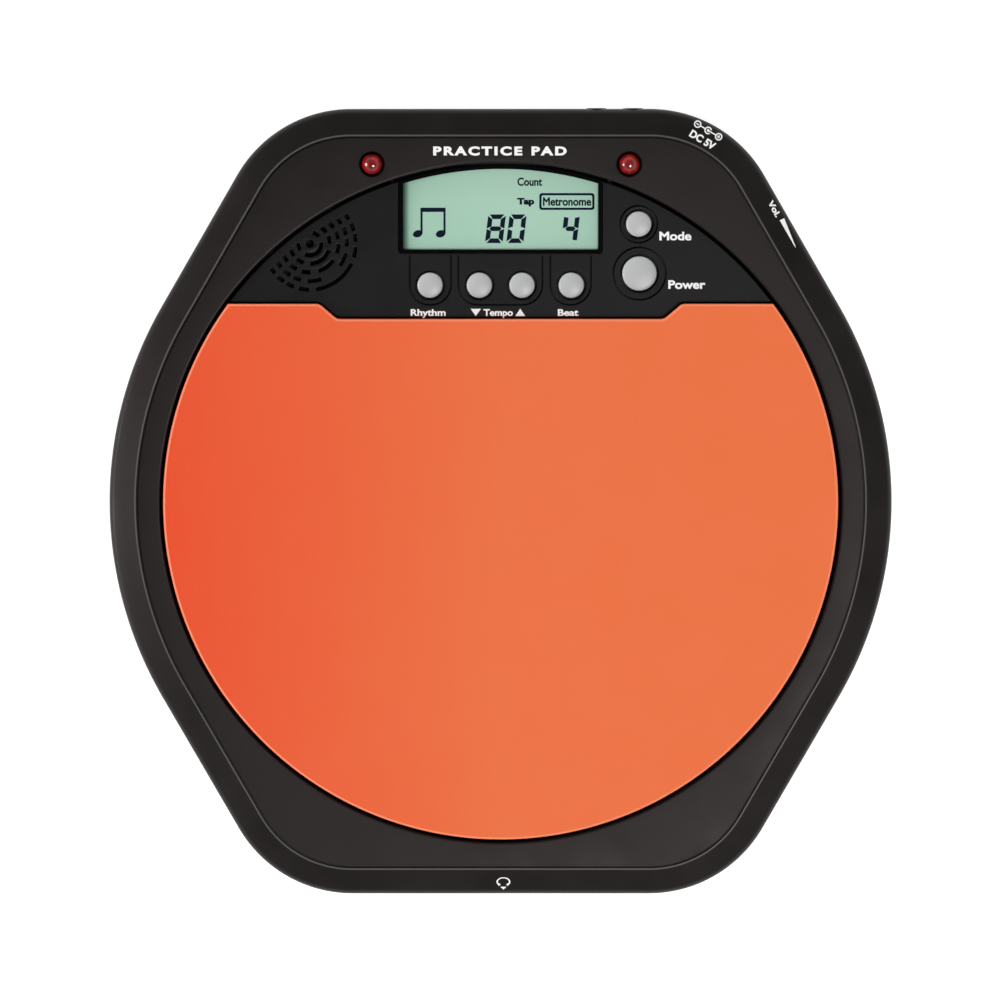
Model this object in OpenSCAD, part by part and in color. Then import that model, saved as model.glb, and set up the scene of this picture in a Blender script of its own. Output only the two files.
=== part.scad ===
// Electronic drum practice pad with a built-in metronome, as an assembly of its separate parts.
// Millimetres. +Z is up, +Y is towards the display, +X is to the right of a seated player.
// The origin is under the middle of the case, in the plane of the bottom of the feet.

/* [Outline] */
// Width of the body across its two round sides
body_w = 280; // [278:1:282]
// Radius of the four corners
corner_r = 47; // [46:0.5:48]
// Length of each of the four slanted straight sides
flat_len = 54.5; // [54:0.1:55]
// Direction that the first slanted side faces, in degrees from +X
flat_angle = 30; // [29.5:0.5:30.5]

/* [Heights] */
// Height of the rubber feet under the case
foot_h = 2; // [1.8:0.1:2.2]
// Top of the flat frame round the playing surface
plate_z = 25; // [24.8:0.1:25.2]
// Height of the ridge line above that frame
ridge_h = 0.6; // [0.4:0.1:0.8]
// Top of the rubber playing surface
pad_z = 26.5; // [26:0.1:27]
// Top of the control panel
panel_z = 22.5; // [22.3:0.1:22.6]

/* [Case] */
// Thickness of the moulded walls
shell_t = 2.5; // [2.2:0.1:2.6]
// Width of the sloping band from the outline in to the ridge line
band_w = 9.7; // [9:0.1:10]
// Slope of that band in degrees
band_slope = 20; // [16:1:22]
// Radius that rounds the outer edge of the band
edge_r = 3; // [2.5:0.1:3.5]
// Radius of the round opening in the top case
well_r = 121.7; // [121.5:0.1:121.8]

/* [Playing surface and panel] */
// Radius of the rubber playing surface and of the panel
pad_r = 120.5; // [120:0.1:120.8]
// Thickness of the rubber
rubber_t = 3.5; // [3:0.1:4]
// Where the outer stretches of the panel's front edge lie
front_y = 71.6; // [71:0.1:72]
// Where the middle stretch of the panel's front edge lies
front_mid_y = 66.2; // [66:0.1:66.5]
// Half the length of that middle stretch
front_mid_x = 58.2; // [57:0.1:59]
// Where the outer stretches begin
front_out_x = 64.5; // [64:0.1:65]

/* [Controls] */
// Radius of a small button
button_r = 4.5; // [4.3:0.1:4.6]
// Radius of the power button
power_r = 6.1; // [5.9:0.1:6.2]
// Travel of a button
button_travel = 0.5; // [0.3:0.1:0.6]
// Radius of the volume wheel
wheel_r = 11; // [10.8:0.1:11.1]
// Number of notches in the volume wheel
wheel_notches = 36; // [24:1:40]
// Radius of a status light
led_r = 3.55; // [3.4:0.05:3.6]

/* [Hidden] */
$fn = 96;
body_r = body_w / 2;
eps = 0.05; // overlap that makes a cut run clean past a face
far = 200; // longer than anything in the part

// The outline is two arcs about the middle, four corner arcs and the straights between them.
core_r = body_r - corner_r;
edge_half = core_r * cos(flat_angle) - flat_len * sin(flat_angle);
corner_y = core_r * sin(flat_angle) + flat_len * cos(flat_angle);
edge_y = corner_y + corner_r;

// Levels, from the floor up
floor_z0 = foot_h;
floor_z1 = foot_h + 2;
parting_z = 13.4;
tongue_z = 15.4;
well_z = 16; // underside of the well's floor
well_floor_z = 18;
panel_t = 2.5;
panel_under_z = panel_z - panel_t;
plate_under_z = plate_z - shell_t;
board_z0 = 12;
board_z1 = 13.6;
rubber_z = pad_z - rubber_t;
pad_plate_t = 2;
pad_plate_z = rubber_z - pad_plate_t;

// Sections of each half case, as [distance in from the outline, height], from its upper face
// round the outline to its underside
ridge_z = plate_z + ridge_h;
edge_in = edge_r * (1 - sin(band_slope));
edge_mid_z = ridge_z - (band_w - edge_in) * tan(band_slope) - edge_r * cos(band_slope);
edge_steps = 4;
top_gap = 0.1; // the parting line between the half cases
top_section = concat(
    [[band_w + 0.5, plate_z], [band_w, ridge_z]],
    [for (k = [edge_steps : -1 : 0])
        let (a = (90 - band_slope) * k / edge_steps)
        [edge_r * (1 - cos(a)), edge_mid_z + edge_r * sin(a)]],
    [[0, parting_z + top_gap], [2.4, parting_z + top_gap], [2.4, edge_mid_z - 1.5],
     [4.3, edge_mid_z + 0.8], [9, plate_under_z]]);
bottom_section = [[6.6, floor_z1], [3.9, 11.5], [3.9, tongue_z], [2.7, tongue_z],
    [2.7, parting_z], [0.4, parting_z], [4.6, floor_z0 + 1], [7.5, floor_z0]];
side_steps = 24;
corner_steps = 12;

// The panel's front edge turns by this angle at each end of its middle stretch.
front_turn = atan2(front_y - front_mid_y, front_out_x - front_mid_x);
edge_gap = 0.25; // half the gap between the rubber and the panel

// Display window: straight sides and front, with its rear edge on an arc
window_half = 34.7;
window_y = 90.8;
window_r = 119.6;
lens_z = 21.3;
glass_half = 38;
glass_y0 = 87;
glass_y1 = 120.5;
glass_z0 = 17.7;
glass_z1 = 19.9;

// Controls: [x, y] of each button
row_y = 77.9;
rhythm_at = [-25.2, row_y];
tempo_down_at = [-7.6, row_y];
tempo_up_at = [7.6, row_y];
beat_at = [25.2, row_y];
mode_at = [49.2, 99.7];
power_at = [49.5, 82.1];
small_buttons = [rhythm_at, tempo_down_at, tempo_up_at, beat_at, mode_at];
all_buttons = concat(small_buttons, [power_at]);
button_gap = 0.4;
button_flange = 0.9;
line_w = 0.5; // thin lines pressed into the panel
line_depth = 0.4;
pocket_y0 = 70.6;
pocket_y1 = 88.6;
plunger_r = 1.7;
plunger_top = 17.9;
switch_top = 17.1;
switch_floor = 15.5;
led_at = [45.8, 121];
led_hole_r = 4.3;
led_top = 26.9;
led_dome_r = 4.2;
led_flange_r = 4.8;
led_leg_x = 1.27;

// Speaker and its grille of broken rings
speaker_at = [-68, 92.7];
speaker_r = 18;
grille_turn = -54; // direction of the grille's axis
grille_w = 1.35;
grille_clip_r = 118.3;
dash_len = 2.7;
// Each ring: [radius, half angle of its long slot, ends of its next slot, middle angles of its
// short slots]; the slots but the long one are on both sides
grille_rings = [[4.1, 60, [], [113]], [7.1, 35, [], [65.6, 100]],
    [10.2, 18.5, [35, 53], [71, 96]], [13.25, 0, [18, 39], [56, 74, 93]],
    [16.35, 28.5, [37, 50], [61.5, 75.4, 91]]];

// Volume wheel, placed by its distance out from the middle and along the slanted side
wheel_out = 128.6;
wheel_along = 33;
wheel_z0 = 8.6;
wheel_z1 = 11.4;
shaft_r = 1.5;

// Sockets
jack_z = 9;
phones_r = 1.8;
phones_len = 14;
dc_r = 1.9;
dc_angle = 60;
side_board_z = 4.8;
side_board_t = 1.2;
jack_half = 3.7;
nose_r = 2.9;

// Battery bay and its door
bay_y = -30;
cell_r = 5.15;
cell_len = 44.5;
cell_pitch = 11.2;
bay_half_x = 25.5;
bay_half_y = 17;
bay_top = 15.1;
bay_wall = 1.5;
door_half_x = 29;
door_half_y = 20;
door_gap = 0.2;
door_top = floor_z1 - 0.1;
tongue_x = 18;
tongue_w = 8;
hinge_y = bay_y + door_half_y;

// Screws: [x, y] of each
case_screws_at = [[24, 128.5], [-24, 128.5], [127, 18], [-127, 18], [75, -112], [-75, -112]];
board_screws_at = [[-43.2, 106], [-42, 75.5], [59, 97], [56, 74]];
ear_at = 128; // distance of the panel's ears from the middle
ear_angles = [42, 138];
ear_r = 3.5;
ear_t = 2;
panel_feet_at = [[-48.5, 77], [66.5, 77]];
nibs_x = [34.2, 47.2]; // moulded nibs on the rear edge
nib_z = 17.6;
feet_at = [[75, 95], [-75, 95], [118, 0], [-118, 0], [75, -92], [-75, -92]];
foot_r = 8;
upper_boss_r = 3.5;
lower_boss_r = 4.2;
case_seat_z = 8; // where the heads of the case screws bear
case_head_r = 3.2;
case_clear_r = 1.7;
case_thread_r = 1.45;
panel_clear_r = 1.4;
panel_thread_r = 1.25;
slot_w = 0.6;

// Colours
case_black = [0.16, 0.15, 0.15];
panel_black = [0.17, 0.17, 0.17];
pad_orange = [0.93, 0.43, 0.26];
button_grey = [0.76, 0.76, 0.76];
steel = [0.72, 0.73, 0.75];
brass = [0.8, 0.63, 0.3];
board_green = [0.1, 0.35, 0.2];
soft_black = [0.08, 0.08, 0.08];
magnet_grey = [0.25, 0.25, 0.27];
plunger_yellow = [0.85, 0.8, 0.3];
led_red = [0.75, 0.05, 0.04];
wire_red = [0.7, 0.12, 0.1];

function polar(r, a) = [r * cos(a), r * sin(a)];
function along_side(out, along) = polar(out, flat_angle) + polar(along, flat_angle + 90);

// Panel front edge, moved back by g
function front_edge(g) =
    let (k = g * tan(front_turn / 2))
    [[-far, front_y + g], [k - front_out_x, front_y + g], [k - front_mid_x, front_mid_y + g],
     [front_mid_x - k, front_mid_y + g], [front_out_x - k, front_y + g], [far, front_y + g]];

// Points of a smooth route through the given points, with n steps between neighbours
function route(p, n) = concat(
    [for (i = [0 : len(p) - 2], s = [0 : n - 1])
        let (a = p[max(i - 1, 0)], b = p[i], c = p[i + 1], d = p[min(i + 2, len(p) - 1)],
             t = s / n)
        0.5 * (2 * b + (c - a) * t + (2 * a - 5 * b + 4 * c - d) * t * t
            + (3 * b - a - 3 * c + d) * t * t * t)],
    [p[len(p) - 1]]);
function heading(p, i) =
    let (d = p[min(i + 1, len(p) - 1)] - p[max(i - 1, 0)])
    d / norm(d);

// Round bar swept along the points p; across is a direction that the bar never runs in
module bar(p, r, across, sides = 8) {
    rings = len(p);
    points = [for (i = [0 : rings - 1])
        let (t = heading(p, i), u0 = cross(t, across), u = u0 / norm(u0), v = cross(t, u))
        for (k = [0 : sides - 1])
            let (a = 360 * k / sides)
            p[i] + r * (cos(a) * u + sin(a) * v)];
    skin = [for (i = [0 : rings - 2], k = [0 : sides - 1])
        let (n = (k + 1) % sides)
        [i * sides + k, i * sides + n, (i + 1) * sides + n, (i + 1) * sides + k]];
    first_end = [for (k = [sides - 1 : -1 : 0]) k];
    last_end = [for (k = [0 : sides - 1]) (rings - 1) * sides + k];
    polyhedron(points, concat(skin, [first_end, last_end]));
}

module disc(at, r, z0, z1) translate([at[0], at[1], z0]) cylinder(r = r, h = z1 - z0);

module block(x0, x1, y0, y1, z0, z1) translate([x0, y0, z0]) cube([x1 - x0, y1 - y0, z1 - z0]);

// Points of an arc about c, from a0 to a1 in n steps
function arc(c, r, a0, a1, n) = [for (k = [0 : n]) c + polar(r, a0 + (a1 - a0) * k / n)];

// Half of the case's outline, drawn in by inset, from the right side to the rear left corner
function half_outline(inset) = concat(
    arc([0, 0], body_r - inset, -flat_angle, flat_angle, side_steps),
    arc([edge_half, corner_y], corner_r - inset, flat_angle, 90, corner_steps),
    arc([-edge_half, corner_y], corner_r - inset, 90, 180 - flat_angle, corner_steps));
function outline(inset) = let (half = half_outline(inset)) concat(half, -half);

// A half case: rings of the outline, one for each point of its section, joined into a solid
// whose first and last rings are filled in
module half_case(section) {
    n = len(outline(0));
    m = len(section);
    points = [for (p = section) for (q = outline(p[0])) [q[0], q[1], p[1]]];
    walls = [for (j = [0 : m - 2]) for (i = [0 : n - 1])
        [j * n + i, j * n + (i + 1) % n, (j + 1) * n + (i + 1) % n, (j + 1) * n + i]];
    first = [for (i = [n - 1 : -1 : 0]) i];
    last = [for (i = [0 : n - 1]) (m - 1) * n + i];
    polyhedron(points, concat([first, last], walls));
}

// Part of a disc on the player's side of the panel's front edge
module pad_side(g, r, z0, z1) intersection() {
    disc([0, 0], r, z0, z1);
    translate([0, 0, z0 - 1]) linear_extrude(z1 - z0 + 2)
        polygon(concat(front_edge(g), [[far, -far], [-far, -far]]));
}

// Part of a disc on the display's side of that edge
module panel_side(g, r, z0, z1) intersection() {
    disc([0, 0], r, z0, z1);
    translate([0, 0, z0 - 1]) linear_extrude(z1 - z0 + 2)
        polygon(concat(front_edge(g), [[far, far], [-far, far]]));
}

module tube(at, r_in, r_out, z0, z1) difference() {
    disc(at, r_out, z0, z1);
    disc(at, r_in, z0 - 1, z1 + 1);
}

module top_case() color(case_black) difference() {
    union() {
        difference() {
            half_case(top_section);
            disc([0, 0], well_r + 1, plate_under_z - 1, plate_z + 1);
        }
        tube([0, 0], well_r, well_r + 2, panel_under_z + 0.2, plate_z);
        difference() {
            pad_side(2, well_r + 2, well_z, panel_under_z + 1);
            pad_side(0, well_r, well_floor_z, far);
            panel_side(-1, well_r, panel_under_z - 0.1, far);
        }
        for (p = panel_feet_at) {
            disc(p, 4, well_z, well_floor_z);
            block(p[0] - 3, p[0] + 3, front_mid_y - 4, p[1], well_z, well_floor_z);
        }
        for (p = case_screws_at) disc(p, upper_boss_r, board_z0 + 0.1, plate_under_z + 1);
        for (a = ear_angles)
            disc(polar(ear_at, a), upper_boss_r, panel_under_z + 0.1, plate_under_z + 1);
        for (x = nibs_x) translate([x, edge_y - 1.5, nib_z]) rotate([-90, 0, 0])
            cylinder(r1 = 3.9, r2 = 3.4, h = 1.8);
    }
    for (x = [-led_at[0], led_at[0]]) disc([x, led_at[1]], led_hole_r, plate_under_z - 1, far);
    for (p = case_screws_at) disc(p, case_thread_r, 0, 21);
    for (a = ear_angles) disc(polar(ear_at, a), panel_thread_r, 0, 23.2);
    for (p = panel_feet_at) disc(p, panel_clear_r, 0, well_floor_z + 1);
    disc(piezo_route[0], 3, 0, well_floor_z + 1);
}

module bottom_case() color(case_black) difference() {
    union() {
        half_case(bottom_section);
        for (p = case_screws_at) disc(p, lower_boss_r, floor_z1 - 1, board_z0);
        block(-31.5, 31.5, bay_y - 22.5, bay_y + 22.5, floor_z1 - 1, floor_z1 + 1.2);
        block(-bay_half_x - bay_wall, bay_half_x + bay_wall, bay_y - bay_half_y - bay_wall,
            bay_y + bay_half_y + bay_wall, floor_z1 - 1, bay_top + 0.8);
        for (x = [-9.5, 9.5]) board_stake([x, -121]);
        board_stake([66.5, 114.5]);
        board_stake(along_side(127, 24.5));
        for (x = [-100, -62, 62, 100]) block(x - 0.8, x + 0.8, -70, 62, floor_z1 - 1, 7);
        for (y = [-70, 62]) block(-100, 100, y - 0.8, y + 0.8, floor_z1 - 1, 7);
    }
    block(-door_half_x - door_gap, door_half_x + door_gap, bay_y - door_half_y - door_gap,
        bay_y + door_half_y + door_gap, 0, floor_z1);
    block(-bay_half_x, bay_half_x, bay_y - bay_half_y, bay_y + bay_half_y, 0, bay_top);
    for (x = [-tongue_x, tongue_x])
        block(x - tongue_w / 2 - 0.5, x + tongue_w / 2 + 0.5, bay_y + bay_half_y - 1,
            hinge_y + 4, floor_z1 - eps, floor_z1 + 2.6);
    block(-6, 6, bay_y - door_half_y - door_gap, bay_y - bay_half_y - bay_wall, 0, far);
    for (p = case_screws_at) {
        disc(p, case_clear_r, 0, far);
        disc(p, case_head_r, 0, case_seat_z);
    }
    for (p = feet_at) disc(p, foot_r + 0.2, 0, floor_z0 + 0.6);
    translate([0, -far, jack_z]) rotate([-90, 0, 0]) cylinder(r = nose_r + 0.2, h = far - 130);
    socket_frame() rotate([0, 90, 0]) cylinder(r = nose_r + 0.2, h = 30);
    rotate(flat_angle) block(130, 145, wheel_along - 9.3, wheel_along + 9.3, 8.1, 11.9);
}

// Post with a pin that a small board is pressed on to
module board_stake(at) {
    disc(at, 2, floor_z1 - 1, side_board_z);
    disc(at, 1, side_board_z - 1, side_board_z + side_board_t + 0.8);
}

// Frame of the power socket: x runs out of the mouth, and x = 0 is the back of its case
module socket_frame() translate([edge_half, corner_y, jack_z]) rotate(dc_angle)
    translate([29.9, 0, 0]) children();

module control_panel() color(panel_black) difference() {
    union() {
        panel_side(edge_gap, pad_r, panel_under_z, panel_z);
        for (a = ear_angles) rotate(a) {
            block(115, ear_at, -ear_r, ear_r, panel_under_z - ear_t, panel_under_z + eps);
            disc([ear_at, 0], ear_r, panel_under_z - ear_t, panel_under_z);
        }
        for (p = panel_feet_at) disc(p, 3, well_floor_z + 0.1, panel_under_z + 1);
        for (p = board_screws_at) disc(p, 2.4, board_z1, panel_under_z + 1);
        intersection() {
            tube(speaker_at, speaker_r + 0.2, speaker_r + 1, panel_under_z - 2.5,
                panel_under_z + 1);
            disc([0, 0], pad_r, 0, far);
        }
    }
    window(0, lens_z, far);
    window(1, 0, far);
    for (p = small_buttons) disc(p, button_r + button_gap, 0, far);
    disc(power_at, power_r + button_gap, 0, far);
    tube(mode_at, 6.3, 6.3 + line_w, panel_z - line_depth, far);
    tube(power_at, 9, 9 + line_w, panel_z - line_depth, far);
    pocket_line(-32.8, -17.4);
    pocket_line(-15.5, 15.2);
    pocket_line(17.3, 32.5);
    grille();
    for (a = ear_angles) disc(polar(ear_at, a), panel_clear_r, 0, panel_under_z + 0.1);
    for (p = panel_feet_at) disc(p, panel_thread_r, 0, panel_z - 1);
    for (p = board_screws_at) disc(p, 1.1, 0, panel_z - 1.5);
}

// Display opening, drawn in by inset
module window(inset, z0, z1) intersection() {
    block(inset - window_half, window_half - inset, window_y + inset, far, z0, z1);
    disc([0, 0], window_r - inset, z0 - 1, z1 + 1);
}

// Thin U-shaped line pressed into the panel round a group of buttons
module pocket_line(x0, x1) {
    z = panel_z - line_depth;
    for (x = [x0, x1 - line_w]) block(x, x + line_w, pocket_y0, pocket_y1, z, far);
    block(x0, x1, pocket_y0, pocket_y0 + line_w, z, far);
}

module grille() intersection() {
    disc([0, 0], grille_clip_r, panel_under_z - 1, panel_z + 1);
    translate([speaker_at[0], speaker_at[1], panel_under_z - 0.5]) rotate(grille_turn) {
        cylinder(r = 1.45, h = panel_t + 1);
        for (ring = grille_rings) {
            dash_half = asin(dash_len / 2 / ring[0]);
            if (ring[1] > 0) slot(ring[0], -ring[1], ring[1]);
            if (len(ring[2]) > 0) {
                slot(ring[0], ring[2][0], ring[2][1]);
                slot(ring[0], -ring[2][1], -ring[2][0]);
            }
            for (middle = ring[3], side = [-1, 1])
                slot(ring[0], side * middle - dash_half, side * middle + dash_half);
        }
    }
}

module slot(r, a0, a1) rotate(a0) rotate_extrude(angle = a1 - a0)
    translate([r - grille_w / 2, 0]) square([grille_w, panel_t + 1]);

module lcd_lens() color([0.75, 0.85, 0.8, 0.5]) window(0.1, lens_z, panel_z - 0.2);

module lcd_glass() color([0.66, 0.8, 0.72])
    block(-glass_half, glass_half, glass_y0, glass_y1, glass_z0, glass_z1);

module lcd_reflector() color([0.8, 0.82, 0.8])
    block(0.1 - glass_half, glass_half - 0.1, 92, glass_y1 - 0.1, glass_z0 - 0.6, glass_z0 - 0.1);

module zebra_strip() color([0.35, 0.35, 0.37]) block(-34, 34, 88, 90.5, board_z1, glass_z0);

module lcd_holder() color(soft_black) difference() {
    block(-40, 40, 84.5, 122.5, board_z1, glass_z1);
    block(-glass_half - 0.1, glass_half + 0.1, glass_y0 - 0.1, glass_y1 + 0.1, board_z1 - 1, far);
}

module main_board() color(board_green) difference() {
    linear_extrude_at(board_z0, board_z1)
        polygon([[-46.5, 69], [62, 69], [62, 110], [54, 124.5], [-54, 124.5], [-46.5, 113]]);
    for (p = board_screws_at) disc(p, 1.4, 0, far);
}

module linear_extrude_at(z0, z1) translate([0, 0, z0]) linear_extrude(z1 - z0) children();

module main_chip() color(soft_black) {
    block(-6, 6, 98, 110, board_z1, board_z1 + 1.6);
    block(14, 22, 101, 107, board_z1, board_z1 + 1.4);
}

module board_capacitors() color([0.2, 0.25, 0.5])
    for (p = [[-16, 114], [-24, 104], [28, 114]]) disc(p, 2, board_z1, 16.9);

module tact_switches() color(soft_black) for (p = all_buttons) difference() {
    block(p[0] - 3, p[0] + 3, p[1] - 3, p[1] + 3, board_z1, switch_top);
    disc(p, plunger_r + 0.08, switch_floor, far);
}

// Button cap with the flange that keeps it under the panel
module cap(at, r) translate([at[0], at[1], 0]) rotate_extrude()
    polygon([[0, plunger_top + eps], [1.5, plunger_top + eps], [1.5, 18.4],
        [r + button_flange, 18.4], [r + button_flange, 19.5], [r, 19.5], [r, panel_z + 0.9],
        [r - 0.5, panel_z + 1.3], [0, panel_z + 1.5]]);

module plunger(at) disc(at, plunger_r, switch_floor + 0.7, plunger_top);

module rhythm_button() color(button_grey) cap(rhythm_at, button_r);
module tempo_down_button() color(button_grey) cap(tempo_down_at, button_r);
module tempo_up_button() color(button_grey) cap(tempo_up_at, button_r);
module beat_button() color(button_grey) cap(beat_at, button_r);
module mode_button() color(button_grey) cap(mode_at, button_r);
module power_button() color(button_grey) cap(power_at, power_r);
module rhythm_plunger() color(plunger_yellow) plunger(rhythm_at);
module tempo_down_plunger() color(plunger_yellow) plunger(tempo_down_at);
module tempo_up_plunger() color(plunger_yellow) plunger(tempo_up_at);
module beat_plunger() color(plunger_yellow) plunger(beat_at);
module mode_plunger() color(plunger_yellow) plunger(mode_at);
module power_plunger() color(plunger_yellow) plunger(power_at);

// Status light: domed lens, flange and two legs
module led(x) translate([x, led_at[1], 0]) {
    intersection() {
        cylinder(r = led_r, h = led_top);
        translate([0, 0, led_top - led_dome_r]) sphere(r = led_dome_r);
    }
    disc([0, 0], led_r, plate_under_z - 0.5, plate_z - 1);
    disc([0, 0], led_flange_r, plate_under_z - 1.2, plate_under_z - 0.1);
    for (dx = [-led_leg_x, led_leg_x]) disc([dx, 0], 0.3, board_z1, plate_under_z - 1);
}
module left_led() color(led_red) led(-led_at[0]);
module right_led() color(led_red) led(led_at[0]);

module at_speaker() translate([speaker_at[0], speaker_at[1], 0]) children();

module speaker_frame() color(magnet_grey) at_speaker() rotate_extrude()
    polygon([[15.4, 19.8], [speaker_r, 19.8], [speaker_r, 18.6], [16.4, 18.1], [9.6, 13.2],
        [7, 13.2], [7, 14.2], [9, 14.2], [15.4, 18.9]]);

module speaker_magnet() color(magnet_grey) at_speaker() {
    cylinder_between(8.5, 8.2, 13.2);
    cylinder_between(2.8, 13.2, 15.2);
}

module cylinder_between(r, z0, z1) translate([0, 0, z0]) cylinder(r = r, h = z1 - z0);

module speaker_cone() color([0.2, 0.2, 0.2]) at_speaker() rotate_extrude()
    polygon([[15.3, 19.5], [15.3, 19.1], [4.5, 15.9], [3.6, 14.4], [3.2, 14.4], [3.2, 16.2],
        [4.4, 16.4], [14.4, 19.5]]);

module speaker_cap() color([0.12, 0.12, 0.12]) at_speaker() rotate_extrude()
    polygon([[0, 17.9], [2.4, 17.6], [4.3, 16.6], [4.3, 16.42], [2.2, 17.3], [0, 17.6]]);

module drum_pad() color(pad_orange) pad_side(-edge_gap, pad_r, rubber_z, pad_z);

module pad_plate() color([0.3, 0.3, 0.3]) pad_side(-1, pad_r - 1, pad_plate_z, rubber_z);

module foam_damper() color([0.4, 0.4, 0.42]) difference() {
    pad_side(-2.5, pad_r - 2.5, well_floor_z, pad_plate_z);
    disc([0, 0], 20, 0, far);
}

module piezo_disc() color(brass) disc([0, 0], 13.5, pad_plate_z - 0.3, pad_plate_z);

module piezo_ceramic() color([0.92, 0.92, 0.9])
    disc([0, 0], 10, pad_plate_z - 0.55, pad_plate_z - 0.3);

module at_wheel() translate(along_side(wheel_out, wheel_along)) children();

module volume_wheel() color(soft_black) at_wheel() difference() {
    cylinder_between(wheel_r, wheel_z0, wheel_z1);
    cylinder_between(shaft_r + 0.02, 0, far);
    for (k = [0 : wheel_notches - 1]) rotate(k * 360 / wheel_notches)
        translate([wheel_r + 0.1, 0, 0]) cylinder(r = 0.5, h = far, $fn = 24);
}

module volume_shaft() color(steel) at_wheel() cylinder_between(shaft_r, 6.6, wheel_z1);

module volume_pot() color([0.2, 0.3, 0.55]) at_wheel() difference() {
    cylinder_between(5, side_board_z + side_board_t, 8.3);
    cylinder_between(shaft_r + 0.05, 6.5, far);
}

module wheel_screw() color(steel) at_wheel() difference() {
    cylinder_between(2.6, wheel_z1 + 0.02, wheel_z1 + 0.9);
    translate([-3, -slot_w / 2, wheel_z1 + 0.5]) cube([6, slot_w, 1]);
}

// Board behind the wheel and the power socket, bent round the corner of the case
module io_board() color(board_green) difference() {
    socket = [edge_half, corner_y];
    linear_extrude_at(side_board_z, side_board_z + side_board_t)
        polygon([along_side(121, 21), along_side(133, 21), along_side(133, 42),
            socket + polar(39.5, dc_angle) + polar(6, dc_angle - 90),
            socket + polar(39.5, dc_angle) + polar(6, dc_angle + 90),
            socket + polar(24, dc_angle) + polar(6, dc_angle + 90),
            socket + polar(24, dc_angle) + polar(6, dc_angle - 90), along_side(121, 42)]);
    disc([66.5, 114.5], 1.1, 0, far);
    disc(along_side(127, 24.5), 1.1, 0, far);
}

module dc_jack() color(soft_black) socket_frame() difference() {
    union() {
        translate([0, -jack_half, side_board_z + side_board_t - jack_z])
            cube([11, 2 * jack_half, 6.2]);
        rotate([0, 90, 0]) cylinder(r = nose_r, h = 14.5);
    }
    translate([4.5, 0, 0]) rotate([0, 90, 0]) cylinder(r = dc_r, h = 11);
}

module dc_jack_pin() color(steel) socket_frame() translate([4.5, 0, 0]) rotate([0, 90, 0])
    cylinder(r = 0.65, h = 8.5);

module phones_board() color(board_green) difference() {
    block(-12, 12, -134, -117, side_board_z, side_board_z + side_board_t);
    for (x = [-9.5, 9.5]) disc([x, -121], 1.1, 0, far);
}

module headphone_jack() color(soft_black) difference() {
    union() {
        block(-jack_half, jack_half, -134.6, -122, side_board_z + side_board_t, 12);
        translate([0, -138.2, jack_z]) rotate([-90, 0, 0]) cylinder(r = nose_r, h = 5);
    }
    translate([0, -139.2, jack_z]) rotate([-90, 0, 0]) cylinder(r = phones_r, h = phones_len + 1);
}

module battery_door() color(case_black) {
    difference() {
        block(-door_half_x, door_half_x, bay_y - door_half_y, hinge_y, floor_z0, door_top);
        for (k = [0 : 3]) block(-8, 8, bay_y - 16 + 2 * k, bay_y - 15 + 2 * k, 0, floor_z0 + 0.5);
    }
    for (x = [-tongue_x, tongue_x]) {
        block(x - tongue_w / 2, x + tongue_w / 2, hinge_y - 1.5, hinge_y, door_top - eps, 5.4);
        block(x - tongue_w / 2, x + tongue_w / 2, hinge_y - eps, hinge_y + 3, 4.1, 5.4);
    }
    block(-5, 5, bay_y - door_half_y + 0.3, bay_y - door_half_y + 1.1, door_top - eps, 8);
}

// One cell along x with its raised end towards +x
module cell() rotate([0, 90, 0]) {
    cylinder(r = cell_r, h = cell_len - 1);
    translate([0, 0, cell_len - 1.1]) cylinder(r = 1.9, h = 1.1);
}

// Places a cell's parts in each lane; every second one is turned round
module lanes() for (k = [-1 : 1]) translate([0, bay_y + k * cell_pitch, 9.7])
    rotate(k == 0 ? 180 : 0) children();

module battery_cells() color([0.15, 0.35, 0.2]) lanes() translate([24.95 - cell_len, 0, 0]) cell();

module battery_springs() color(steel) lanes() {
    turns = 3.5;
    steps = 10;
    span = 4.1;
    points = [for (k = [0 : turns * steps])
        let (a = 360 * k / steps, f = k / (turns * steps))
        [0.8 + span * f - 25.1, (3.6 - f) * cos(a), (3.6 - f) * sin(a)]];
    bar(points, 0.35, [1, 0, 0]);
}

module battery_plates() color(steel) for (x = [-25.45, 25.05])
    block(x, x + 0.4, bay_y - bay_half_y + 0.5, bay_y + bay_half_y - 0.5, 5, 14.6);

module rubber_feet() color(soft_black) for (p = feet_at) disc(p, foot_r, 0, floor_z0 + 0.6);

// Screw with a round head below and its shank above
module screw(at, head_z, head_r, head_h, shank_r, len) difference() {
    union() {
        disc(at, head_r, head_z - head_h, head_z);
        disc(at, shank_r, head_z - eps, head_z + len);
    }
    for (a = [0, 90]) translate([at[0], at[1], head_z - head_h]) rotate(a)
        cube([2.2, slot_w, 1], center = true);
}

module case_screws() color(steel)
    for (p = case_screws_at) screw(p, case_seat_z, 2.8, 1.8, 1.4, 12.5);
module board_screws() color(steel)
    for (p = board_screws_at) screw(p, board_z0, 2.2, 1.3, 1.05, 5);
module panel_screws() color(steel) {
    for (a = ear_angles) panel_screw(polar(ear_at, a), panel_under_z - ear_t);
    for (p = panel_feet_at) panel_screw(p, well_z);
}
module panel_screw(at, seat_z) screw(at, seat_z, 2.6, 1.6, 1.2, 4.5);

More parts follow.
